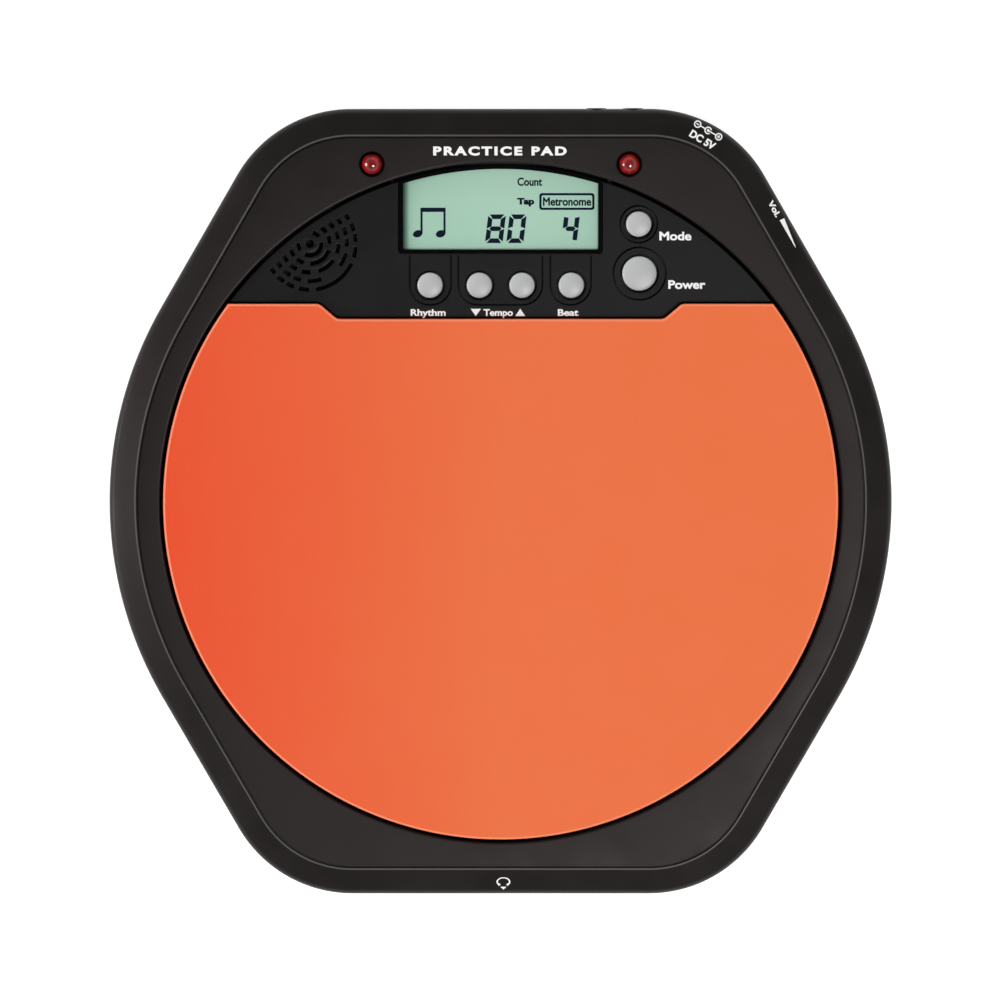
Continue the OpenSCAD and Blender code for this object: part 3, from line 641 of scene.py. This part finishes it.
MATERIALS = {
    # The case's ridge takes a painted highlight in the lighter colour.
    "case_plastic": grained("case_plastic", srgb(17.5, 15.5, 14), 0.4, edge=srgb(84, 82, 80),
                            Specular_IOR_Level=0.27, Specular_Tint=(1.0, 0.89, 0.87, 1)),
    "panel_plastic": grained("panel_plastic", srgb(15, 15, 15), 0.4, grain=2800.0,
                             Specular_IOR_Level=0.2),
    "clear_lens": clear_lens(),
    "lcd": lcd_green(),
    "white_plastic": grained("white_plastic", srgb(226, 226, 220), 0.45, spread=0.04),
    "elastomer": grained("elastomer", srgb(90, 90, 94), 0.6),
    "board": circuit_board("board"),
    "chip_plastic": grained("chip_plastic", srgb(30, 30, 32), 0.5),
    "capacitor": grained("capacitor", srgb(44, 52, 120), 0.35),
    # The keys take painted shade below the panel and a painted light on their upper left.
    "button_plastic": grained("button_plastic", srgb(187, 188, 188), 0.33, spread=0.03,
                              grain=2400.0, gap_shade=srgb(14, 14, 14), painted_sheen=0.12),
    "plunger_plastic": grained("plunger_plastic", srgb(215, 205, 90), 0.45, spread=0.05),
    "led_red": led_red(),
    "steel": brushed("steel", srgb(196, 198, 202), 0.3),
    "magnet": grained("magnet", srgb(20, 20, 22), 0.7, grain=1500.0, Specular_IOR_Level=0.1),
    "paper_cone": grained("paper_cone", srgb(26, 26, 27), 0.85, grain=1800.0, depth=0.00006),
    "pad_rubber": rubber_orange(),
    "plate_plastic": grained("plate_plastic", srgb(60, 60, 62), 0.5),
    "foam": foam("foam", srgb(72, 72, 76)),
    "brass": brushed("brass", srgb(206, 170, 96), 0.3),
    "ceramic": grained("ceramic", srgb(232, 230, 222), 0.5, spread=0.04),
    "knob_plastic": grained("knob_plastic", srgb(24, 24, 25), 0.45),
    "cell_sleeve": grained("cell_sleeve", srgb(40, 92, 60), 0.3, Coat_Weight=0.3),
    "wire": grained("wire", srgb(176, 34, 28), 0.45),
    "foot_rubber": grained("foot_rubber", srgb(26, 26, 26), 0.8, grain=1400.0, depth=0.00005),
}
PRINT_WHITE = grained("print_white", srgb(252, 252, 252), 0.5, spread=0.02, grain=5000.0)
LCD_NAVY = grained("lcd_navy", srgb(2, 11, 42), 0.7, spread=0.08, grain=5000.0,
                   Specular_IOR_Level=0.05)
# Matte near-black: the display's mask and its bezel, and painted shade on the well's ledge and
# floor, which show only down in gaps.
BLACK_AND_SHADE = grained("black_and_shade", srgb(6, 6, 6), 0.9, Specular_IOR_Level=0.05)


def paint(obj, look):
    obj.data.materials.clear()
    obj.data.materials.append(look.material)


def dress(obj, slot, body="case", replaces=None, look=None):
    """Gives a piece its look, the material of its slot unless look is given, puts it on its body
    and hides the CAD node that it replaces.
    """
    paint(obj, look or MATERIALS[slot])
    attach(obj, body)
    if replaces:
        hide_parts(replaces)


# ---- Top case ------------------------------------------------------------------------------
def top_case():
    lip, wall, under_plate = PARTING_Z + 0.1, 2.4, 22.3
    side = [(wall, lip), (0.35, lip), (0.1, lip + 0.1), (0.0, lip + 0.35), (0.0, 16.5),
            (0.0, EDGE_MID_Z)]
    steps = 10
    for k in range(1, steps + 1):
        a = math.radians((90 - BAND_SLOPE) * k / steps)
        side.append((EDGE_R * (1 - math.cos(a)), EDGE_MID_Z + EDGE_R * math.sin(a)))
    band = [(inset, band_z(inset)) for inset in (5.0, BAND_W - 0.55, BAND_W - 0.45)]
    ridge = [(BAND_W - 0.2, RIDGE_Z - 0.07), (BAND_W, RIDGE_Z - 0.08),
             (BAND_W + 0.14, RIDGE_Z - 0.25)]
    groove = [(BAND_W + 0.2, PLATE_Z - 0.8), (BAND_W + 0.6, PLATE_Z - 0.8),
              (BAND_W + 0.68, PLATE_Z - 0.12), (BAND_W + 0.8, PLATE_Z), (BAND_W + 1.6, PLATE_Z)]
    well = [(WELL_R + 0.9, PLATE_Z), (WELL_R + 0.45, PLATE_Z - 0.03),
            (WELL_R + 0.18, PLATE_Z - 0.16), (WELL_R + 0.04, PLATE_Z - 0.38),
            (WELL_R, PLATE_Z - 0.7), (WELL_R, 17.0), (WELL_R, WELL_Z), (WELL_R + 2, WELL_Z),
            (WELL_R + 2, under_plate)]
    inside = [(9.0, under_plate), (4.3, EDGE_MID_Z + 0.8), (wall, EDGE_MID_Z - 1.5)]
    rings = [ring_in(inset, z) for inset, z in side + band + ridge + groove]
    rings += [ring_circle(r, z) for r, z in well]
    rings += [ring_in(inset, z) for inset, z in inside]
    case = loft("case_top", rings, closed=True)
    # The three rings at the ridge's crest get a painted highlight.
    crest = len(side + band) - 1
    paint_edge_highlight(case, len(OUTLINE), range(crest, crest + 3))
    for x in (-LED_AT[0], LED_AT[0]):
        boolean(case, lathe("led_cutter", [
            (LED_HOLE_R, 20.0), (LED_HOLE_R, PLATE_Z - 0.45), (LED_HOLE_R + 0.12, PLATE_Z - 0.2),
            (LED_HOLE_R + 0.4, PLATE_Z + 0.02), (LED_HOLE_R + 0.4, PLATE_Z + 3)],
            (x, LED_AT[1])))
    dress(case, "case_plastic", replaces="top_case")


def shade_ledge():
    # A near-black ledge in the gap between the panel and the well, as painted shade
    low, high, inner, outer = 17.3, 17.9, PAD_R - 1.5, WELL_R + 1
    section = ((inner, low), (outer, low), (outer, high), (inner, high))
    ledges = [loft("ledge", [[(*(u * r), z) for r, z in section]
                             for u in arc((0, 0), 1, a0, a1, 24)]) for a0, a1 in LEDGE_SPANS]
    dress(joined("shade_ledge", ledges), "case_plastic", look=BLACK_AND_SHADE)


def rear_nibs():
    # Radius of each ring, and how far it stands out from the rear edge
    section = ((3.9, -1.5), (3.85, -0.1), (3.6, 0.15), (3.1, 0.28))
    for i, x in enumerate(NIBS_X):
        nib = loft("rear_nib_%d" % i, [
            [(x + r * math.cos(a), EDGE_Y + out, NIB_Z + r * math.sin(a))
             for a in turn_angles(40)] for r, out in section])
        dress(nib, "case_plastic")


# ---- Rubber surface ------------------------------------------------------------------------
def drum_pad():
    edge_r, steps = 0.75, 6
    profile = [(0.25, 23.02), (0.0, 23.3), (0.0, PAD_Z - edge_r)]
    lit = len(profile) + 2
    for k in range(1, steps + 1):
        a = math.radians(90 * k / steps)
        profile.append((edge_r * (1 - math.cos(a)), PAD_Z - edge_r + edge_r * math.sin(a)))
    profile += [(0.85, PAD_Z), (1.6, PAD_Z)]
    rings = [[(*p, z) for p in pad_loop(-EDGE_GAP, PAD_R, d)] for d, z in profile]
    pad = loft("rubber_pad", rings, sharp=40.0)
    # The rings round the rubber's rounded top edge get a painted highlight.
    paint_edge_highlight(pad, len(rings[0]), range(lit, lit + 4))
    dress(pad, "pad_rubber", replaces="drum_pad")


def well_floor():
    """Near-black floor, painted shade, that shows in the gap round the rubber."""
    rings = [[(*p, z) for p in pad_loop(2.0, WELL_R + 1.5, 0.0)] for z in (WELL_Z, WELL_Z + 2.0)]
    dress(loft("well_floor", rings), "case_plastic", look=BLACK_AND_SHADE)


# ---- Control panel -------------------------------------------------------------------------
def button_r(name):
    return POWER_R if name == "power" else BUTTON_R


def panel_cutters():
    """Grooves round the buttons, and a cut along the rear of the window."""
    grooves = [[circle(BUTTONS[name], r + GROOVE_W), circle(BUTTONS[name], r)]
               for name, r in RING_GROOVES.items()]
    grooves += [[u_groove(x0, x1, 70.6, 88.5, 7.4, GROOVE_W)] for x0, x1 in U_GROOVES]
    cutters = [flat_shape("groove_cutter", loops, PANEL_Z - GROOVE_DEPTH, PANEL_Z + 1)
               for loops in grooves]
    # The narrow strip between the window and the well is cut down, and the bezel covers it
    # in near-black, painted shade for the deep gap there
    half, steps = 36.5, 20
    strip = [Vector((x, math.sqrt(r * r - x * x)))
             for r, way in ((WINDOW[2] - 0.3, 1), (PAD_R + 1.0, -1))
             for x in [way * (k / steps - 1) * half for k in range(2 * steps + 1)]]
    return cutters + [flat_shape("groove_cutter", [strip], PANEL_Z - 1.5, PANEL_Z + 1)]


def control_panel():
    holes = [window_loop(*WINDOW)]
    holes += [circle(at, button_r(name) + BUTTON_GAP + GAP_EXTRA) for name, at in BUTTONS.items()]
    outer = pad_loop(EDGE_GAP, PAD_R, 0.0, low=False)
    panel = flat_shape("panel", [outer] + holes + grille_loops(), PANEL_Z - 2.5, PANEL_Z, 0.22)
    for cutter in panel_cutters():
        boolean(panel, cutter)
    # Keeps the wide flat top from being shaded by the rounding of its edges
    weighted = panel.modifiers.new("weighted", "WEIGHTED_NORMAL")
    weighted.keep_sharp = True
    weighted.weight = 100
    dress(panel, "panel_plastic", replaces="control_panel")


def window_bezel():
    half, front, _, corner = WINDOW
    outer = window_loop(half, front, PAD_R - EDGE_GAP - 0.1, corner)
    inner = window_loop(*WINDOW_IN)
    # How far in each ring lies, from 0 at the outer outline to 1 at the inner, and its height
    section = ((0.0, PANEL_Z - 2.2), (0.0, PANEL_Z - 0.35), (0.08, PANEL_Z - 0.22),
               (0.5, PANEL_Z - 0.62), (0.95, PANEL_Z - 1.1), (1.0, PANEL_Z - 1.3),
               (1.0, LCD_TOP + 0.02))
    rings = [[(*a.lerp(b, t), z) for a, b in zip(outer, inner)] for t, z in section]
    dress(loft("window_bezel", rings, closed=True), "panel_plastic", look=BLACK_AND_SHADE)


# ---- Printed marks -------------------------------------------------------------------------
def mark(loops, z=0.0):
    """Printed patch with its underside at the height z."""
    return flat_shape("mark", loops, z, z + INK)


def word(text, box, z, bold, spacing=1.0):
    """Text as a thin mesh whose width and capitals fill box, (x0, x1, y0, y1). Rounded edges
    of width bold, in letter heights, make its strokes heavier."""
    curve = bpy.data.curves.new("word", "FONT")
    curve.body = "H"
    curve.size = 1.0
    curve.bevel_depth = bold
    curve.bevel_resolution = 1
    curve.space_character = spacing
    drawn = linked("word", curve)
    ys = [v.co.y for v in take_mesh(drawn).vertices]
    base, cap = min(ys), max(ys)
    curve.body = text
    mesh = take_mesh(drawn)
    bpy.data.objects.remove(drawn)
    xs = [v.co.x for v in mesh.vertices]
    low, high = min(xs), max(xs)
    x0, x1, y0, y1 = box
    sx, sy = (x1 - x0) * MM / (high - low), (y1 - y0) * MM / (cap - base)
    sz = INK * MM / (2 * bold)
    for v in mesh.vertices:
        v.co = Vector((x0 * MM + (v.co.x - low) * sx, y0 * MM + (v.co.y - base) * sy,
                       z * MM + v.co.z * sz))
    return linked("word", mesh)


# ---- Display -------------------------------------------------------------------------------
def segment_digit(x, y, w, h, lit, mitre):
    """Outlines of the lit bars of a slanted figure, its lower left corner at (x, y)."""
    slant, t, g = 0.12, 1.65, 0.1
    cut = 0.45 if mitre > 1 else 0.1
    mid = h / 2
    bars = {
        "a": [(cut + g, h), (w - cut - g, h), (w - g - t, h - t), (g + t, h - t)],
        "d": [(cut + g, 0), (g + t, t), (w - g - t, t), (w - cut - g, 0)],
        "g": [(g + t * 0.5, mid), (g + t, mid + t / 2), (w - g - t, mid + t / 2),
              (w - g - t * 0.5, mid), (w - g - t, mid - t / 2), (g + t, mid - t / 2)],
        "f": [(0, h - cut - g), (t, h - g - mitre), (t, mid + g + t * 0.4), (0, mid + g)],
        "e": [(0, mid - g), (t, mid - g - t * 0.4), (t, g + mitre), (0, cut + g)],
        "b": [(w, h - cut - g), (w, mid + g), (w - t, mid + g + t * 0.4),
              (w - t, h - g - mitre)],
        "c": [(w, mid - g), (w, cut + g), (w - t, g + mitre), (w - t, mid - g - t * 0.4)],
    }
    return [[Vector((x + px + slant * py, y + py)) for px, py in bars[key]] for key in lit]


def beamed_notes():
    """Outlines of two heads and their stems, and of the beam that joins them."""
    head_y, head_rx, head_ry, tilt = 96.2, 1.75, 1.25, Matrix.Rotation(math.radians(18), 2)
    stem_in, stem_y0, stem_y1 = 1.0, 96.3, 105.2
    loops = []
    for x in (-29.6, -21.4):
        loops.append([Vector((x, head_y)) + tilt @ Vector((head_rx * math.cos(a),
                                                           head_ry * math.sin(a)))
                      for a in turn_angles(32)])
        loops.append(rect(x + stem_in, x + head_rx, stem_y0, stem_y1))
    return loops + [rect(-28.6, -19.65, 104.0, 105.5)]


def display():
    lens = flat_shape("display_lens", [window_loop(*LENS)], 21.3, 21.75, 0.08, 1)
    dress(lens, "clear_lens", replaces="lcd_lens")
    glass = flat_shape("display_glass", [rect(*GLASS)], 17.8, LCD_TOP, 0.15, 1)
    dress(glass, "lcd", replaces="lcd_glass")
    low = LCD_TOP - INK_SINK
    mask = flat_shape("display_mask", [rect(*MASK_OUT), window_loop(*MASK_IN)], low, low + INK)
    dress(mask, "panel_plastic", look=BLACK_AND_SHADE)
    loops = segment_digit(-5.6, 92.9, 6.3, 10.2, "abcdefg", 1.65)
    loops += segment_digit(2.0, 92.9, 6.1, 10.2, "abcdef", 1.65)
    loops += segment_digit(21.6, 93.6, 5.6, 8.8, "bcfg", 0.4)
    ink = [mark([loop], low) for loop in loops + beamed_notes()]
    ink.append(mark([rounded_rect(13.8, 33.5, 104.7, 110.7, 1.0),
                     rounded_rect(14.6, 32.7, 105.5, 109.9, 0.5)], low))
    ink += [word(text, box, low + INK, bold) for text, box, bold in (
        ("Count", (6.0, 14.8, 113.3, 116.2), 0.03), ("Tap", (5.9, 12.0, 106.6, 109.0), 0.06),
        ("Metronome", (15.1, 32.3, 106.2, 109.2), 0.03))]
    dress(joined("display_figures", ink), "lcd", look=LCD_NAVY)


# ---- Labels --------------------------------------------------------------------------------
def printed(name, parts):
    dress(joined(name, parts), "white_plastic", look=PRINT_WHITE)


def on_band(name, parts, centre, turn, cuts=2):
    """Printed artwork, drawn flat round the origin, laid on the sloping band."""
    art = joined(name, parts)
    subdivide(art, cuts)
    spin = Matrix.Rotation(math.radians(turn), 2)
    for v in art.data.vertices:
        p = spin @ v.co.xy + Vector(centre) * MM
        v.co = (*p, (band_z(inset_at(*(p / MM))) + BAND_LIFT) * MM + v.co.z)
    dress(art, "white_plastic", look=PRINT_WHITE)


def polarity_sign():
    """A dot in an open ring, between a minus and a plus that stand in rings of their own."""
    y, w, end_x, ring_r = 2.9, 0.45, 4.35, 1.35
    minus_half, stroke_half = 0.6, 0.2
    loops = [[arc_band((0, y), 1.15, w, 35, 325)], [circle((0, y), 0.5, 24)]]
    loops += [[rect(x0, x1, y - w / 2, y + w / 2)] for x0, x1 in ((-3.1, -1.4), (0.4, 3.1))]
    for x in (-end_x, end_x):
        loops.append([circle((x, y), ring_r, 32), circle((x, y), ring_r - w, 32)])
        loops.append([rect(x - minus_half, x + minus_half, y - stroke_half, y + stroke_half)])
    loops.append([rect(end_x - stroke_half, end_x + stroke_half, y - minus_half, y + minus_half)])
    return [mark(loop) for loop in loops]


def headphone_sign():
    """A flattened headband over two cups and a small wedge."""
    squash = 0.72
    band = [(p.x, p.y * squash) for p in arc_band((0, 0), 2.25, 0.5, -25, 205)]
    cups = [[(s * 0.95, -0.85), (s * 1.5, -1.45), (s * 2.35, -0.7), (s * 1.9, -0.3)]
            for s in (-1, 1)]
    wedge = [(-1.1, -1.75), (1.1, -1.75), (0.0, -2.9)]
    return [mark([loop]) for loop in [band] + cups + [wedge]]


def labels():
    bold, low, high = 0.034, 66.95, 69.4
    z = PANEL_Z + INK / 2
    for name, box in (("Mode", (56.6, 68.0, 93.9, 97.0)), ("Power", (59.8, 73.1, 76.6, 79.7)),
                      ("Rhythm", (-32.1, -19.6, low, high)), ("Beat", (20.4, 27.8, low, high))):
        printed("label_" + name.lower(), [word(name, box, z, bold)])
    down = mark([[(-10.7, 69.5), (-8.85, 66.9), (-7.0, 69.5)]], PANEL_Z)
    up = mark([[(5.2, 66.9), (8.8, 66.9), (7.0, 69.5)]], PANEL_Z)
    printed("label_tempo", [word("Tempo", (-6.1, 4.4, low, high), z, bold), down, up])
    printed("label_name", [word("PRACTICE PAD", (-24.0, 23.5, 124.1, 127.3),
                                PLATE_Z + INK / 2, 0.05, 1.3)])
    voltage = word("DC 5V", (-5.0, 5.0, -2.4, 0.4), 0.0, 0.04)
    on_band("label_dc", polarity_sign() + [voltage], (72.4, 130.5), -31)
    on_band("label_volume", [word("Vol.", (-3.1, 3.1, -1.1, 1.1), 0.0, 0.04)], (97.5, 105.2), -61)
    wedge = mark([[(-5.6, -0.9), (5.6, -0.1), (5.6, 0.1), (-5.6, 0.9)]])
    on_band("label_wedge", [wedge], (102.7, 96.4), -64, 4)
    on_band("label_phones", headphone_sign(), (1.0, -136.1), 0)


# ---- Buttons and lights --------------------------------------------------------------------
def button_profile(r):
    """Crowned top, rounded edge, a flange under the panel, and a foot on the switch."""
    top, crown, edge_r = PANEL_Z + 1.5, 0.45, 0.75
    flange_z, flange_w, foot_r, foot_z = 19.5, 0.9, 1.5, 17.95
    flat, steps = r - edge_r, 6
    points = [(0, top)]
    points += [(flat * k / steps, top - crown * (k / steps) ** 2) for k in range(1, steps + 1)]
    for k in range(1, steps + 1):
        a = math.radians(90 * k / steps)
        points.append((flat + edge_r * math.sin(a),
                       top - crown - 0.05 - edge_r * (1 - math.cos(a))))
    return points + [(r, flange_z), (r + flange_w - 0.05, flange_z - 0.05),
                     (r + flange_w, flange_z - 0.15), (r + flange_w, 18.45), (foot_r, 18.4),
                     (foot_r, foot_z), (0, foot_z)]


def buttons():
    for name, at in BUTTONS.items():
        cap = lathe(name + "_cap", button_profile(button_r(name)), at, 72)
        dress(cap, "button_plastic", name + "_key", name + "_button")


def status_lights():
    dome_r, flange_r, leg_r, leg_x = 4.2, 4.8, 0.3, 1.27
    profile = [(0, LED_TOP)]
    profile += [(dome_r * math.sin(math.radians(a)),
                 LED_TOP - dome_r * (1 - math.cos(math.radians(a)))) for a in range(6, 55, 6)]
    profile += [(LED_R, LED_TOP - 2.3), (LED_R, 22.0), (flange_r, 21.9), (flange_r, 21.4),
                (0, 21.3)]
    for name, side in (("left", -1), ("right", 1)):
        x, y = side * LED_AT[0], LED_AT[1]
        parts = [lathe(name + "_light", profile, (x, y))]
        parts += [tube_along("leg", (x + dx, y, 13.6), (x + dx, y, 21.5), leg_r, 12)
                  for dx in (-leg_x, leg_x)]
        dress(joined(name + "_light", parts), "led_red", replaces=name + "_led")


# ---- Bottom case ---------------------------------------------------------------------------
def bottom_case():
    lip, rim, wall_z = 0.45, PARTING_Z - 0.35, 15.4
    profile = [(6.6, 4.0), (3.9, 11.5), (3.9, wall_z), (2.7, wall_z), (2.7, PARTING_Z),
               (0.7, PARTING_Z), (lip, PARTING_Z - 0.08), (lip, rim)]
    profile += [(lip + 3.95 * t, rim - (PARTING_Z - 3.75) * t) for t in (0.33, 0.66, 1.0)]
    profile += [(4.75, 2.75), (5.4, 2.3), (6.4, 2.06), (7.5, FLOOR_Z)]
    case = loft("case_bottom", [ring_in(inset, z) for inset, z in profile])

    def about_bay(half_x, half_y, z0, z1):
        return box_object("bay", -half_x, half_x, BAY_Y - half_y, BAY_Y + half_y, z0, z1)

    def hole_along(start, end):
        return tube_along("cut", (*start, JACK_Z), (*end, JACK_Z), NOSE_R + 0.2)

    boolean(case, about_bay(BAY_HALF_X + BAY_WALL, BAY_HALF_Y + BAY_WALL, 3.0, BAY_TOP + 0.8),
            "UNION")
    boolean(case, about_bay(31.5, 22.5, 3.0, 5.2), "UNION")
    door_front = BAY_Y - DOOR_HALF_Y - DOOR_GAP
    wheel_half = 9.3
    cutters = [
        about_bay(DOOR_HALF_X + DOOR_GAP, DOOR_HALF_Y + DOOR_GAP, 0.0, DOOR_TOP),
        about_bay(BAY_HALF_X, BAY_HALF_Y, 0.0, BAY_TOP),
        # The latch of the door
        box_object("cut", -6, 6, door_front, BAY_Y - BAY_HALF_Y - BAY_WALL, 0, 9),
        # The headphone socket, the power socket and the wheel
        hole_along((0, -150), (0, -130)),
        hole_along(CORNER + polar(38, DC_ANGLE), CORNER + polar(55, DC_ANGLE)),
        box_object("cut", 130, 145, WHEEL_ALONG - wheel_half, WHEEL_ALONG + wheel_half,
                   8.1, 11.9, FLAT_ANGLE),
    ]
    # The tongues of the door, on its hinge side
    cutters += [box_object("cut", x - 4.5, x + 4.5, BAY_Y + BAY_HALF_Y - 1,
                           BAY_Y + DOOR_HALF_Y + 4, 3.95, 6.6) for x in (-18, 18)]
    foot_r = FOOT_R + 0.2
    cutters += [lathe("cut", [(foot_r, 0), (foot_r, FOOT_TOP)], p) for p in FEET]
    cutters += [lathe("cut", [(SCREW_HOLE_R, 0), (SCREW_HOLE_R, 3.9)], p, 40)
                for p in CASE_SCREWS]
    for cutter in cutters:
        boolean(case, cutter)
    dress(case, "case_plastic", replaces="bottom_case")


# ---- CAD nodes that stay -------------------------------------------------------------------
SLOTS = {
    "white_plastic": ["lcd_reflector"],
    "elastomer": ["zebra_strip"],
    "board": ["main_board", "io_board", "phones_board"],
    "chip_plastic": ["main_chip", "tact_switches", "dc_jack", "headphone_jack", "lcd_holder"],
    "capacitor": ["board_capacitors"],
    "plunger_plastic": [b + "_plunger" for b in BUTTONS],
    "steel": ["volume_shaft", "wheel_screw", "dc_jack_pin", "battery_springs",
              "battery_plates", "case_screws", "board_screws", "panel_screws"],
    "magnet": ["speaker_magnet", "speaker_frame"],
    "paper_cone": ["speaker_cone", "speaker_cap"],
    "plate_plastic": ["pad_plate", "volume_pot"],
    "foam": ["foam_damper"],
    "brass": ["piezo_disc"],
    "ceramic": ["piezo_ceramic"],
    "knob_plastic": ["volume_wheel"],
    "case_plastic": ["battery_door"],
    "cell_sleeve": ["battery_cells"],
    "wire": ["piezo_lead", "speaker_lead", "battery_lead", "phones_lead", "io_lead"],
    "foot_rubber": ["rubber_feet"],
}
# Width of the rounding of edges, in millimetres
ROUNDED = {"rubber_feet": 0.5, "volume_wheel": 0.12, "battery_door": 0.2, "battery_cells": 0.4,
           "dc_jack": 0.15, "headphone_jack": 0.15, "case_screws": 0.15, "main_chip": 0.15,
           "board_capacitors": 0.2, "wheel_screw": 0.1}


def carried_over():
    for slot, names in SLOTS.items():
        for name in names:
            obj = nodes[name]
            paint(obj, MATERIALS[slot])
            weld = obj.modifiers.new("weld", "WELD")
            weld.merge_threshold = 0.001 * MM
            if name in ROUNDED:
                bevel = obj.modifiers.new("bevel", "BEVEL")
                bevel.width = ROUNDED[name] * MM
                bevel.segments = 2
                bevel.limit_method = "ANGLE"
                bevel.angle_limit = math.radians(40)
            obj.data.shade_smooth()
            normal = obj.modifiers.new("normals", "WEIGHTED_NORMAL")
            normal.keep_sharp = False


# ---- Stage, light and camera ---------------------------------------------------------------
FLOOR_SIZE, FLOOR_DROP = 6.0, 0.05
# Brightness of the studio walls from the horizon, 0, to overhead, 1, and what it is scaled by
SKY = [(0.0, 0.85), (0.45, 0.42), (0.8, 0.08), (1.0, 0.06)]
SKY_GAIN = 2.0
# Square lights aimed at the object: place and side in metres, power in watts
LIGHTS = {"key": ((-2.91, -0.1, 1.55), 1.2, 44.0), "fill": ((0.45, -0.55, 2.0), 0.65, 15.0)}
# A long lens that looks down from a little behind the object's upright axis. VIEW_W is the
# width of the view at the height of the plate, and VIEW_AT its middle
LENS_MM, SENSOR_MM, TILT = 200.0, 36.0, math.radians(3.5)
VIEW_W, VIEW_AT = 357.8, (0.14, 0.95)


def floor():
    bpy.ops.mesh.primitive_plane_add(size=FLOOR_SIZE, location=(0, 0, -FLOOR_DROP * MM))
    sweep = bpy.context.object
    sweep.name = "floor"
    sweep.data.materials.append(floor_white().material)


def studio_walls():
    world = bpy.data.worlds.new("studio")
    world.use_nodes = True
    tree = world.node_tree
    coords = tree.nodes.new("ShaderNodeTexCoord")
    split = tree.nodes.new("ShaderNodeSeparateXYZ")
    ramp = tree.nodes.new("ShaderNodeFloatCurve")
    tree.links.new(coords.outputs["Generated"], split.inputs["Vector"])
    tree.links.new(split.outputs["Z"], ramp.inputs["Value"])
    curve = ramp.mapping.curves[0]
    for point, place in zip(curve.points, SKY[:1] + SKY[-1:]):
        point.location = place
    for place in SKY[1:-1]:
        curve.points.new(*place)
    ramp.mapping.update()
    gain = tree.nodes.new("ShaderNodeMath")
    gain.operation = "MULTIPLY"
    gain.inputs[1].default_value = SKY_GAIN
    tree.links.new(ramp.outputs["Value"], gain.inputs[0])
    background = tree.nodes["Background"]
    background.inputs["Color"].default_value = (1, 1, 1, 1)
    tree.links.new(gain.outputs["Value"], background.inputs["Strength"])
    scene.world = world


def lights():
    for name, (place, side, power) in LIGHTS.items():
        lamp = bpy.data.lights.new(name, "AREA")
        lamp.shape = "SQUARE"
        lamp.size = side
        lamp.energy = power
        obj = linked(name, lamp)
        obj.location = place
        obj.rotation_euler = (-Vector(place)).to_track_quat("-Z", "Y").to_euler()


def camera():
    distance = VIEW_W * MM * LENS_MM / SENSOR_MM
    cam = bpy.data.cameras.new("camera")
    cam.lens, cam.sensor_width = LENS_MM, SENSOR_MM
    cam.clip_start, cam.clip_end = 0.01, 20.0
    obj = linked("camera", cam)
    obj.location = (Vector((*VIEW_AT, PLATE_Z)) * MM
                    + distance * Vector((0, math.sin(TILT), math.cos(TILT))))
    obj.rotation_euler = (-TILT, 0, 0)
    scene.camera = obj


camera()
floor()
studio_walls()
lights()
scene.view_settings.view_transform = "Standard"
top_case()
shade_ledge()
rear_nibs()
drum_pad()
well_floor()
control_panel()
window_bezel()
display()
labels()
buttons()
status_lights()
bottom_case()
carried_over()
bpy.context.view_layer.update()
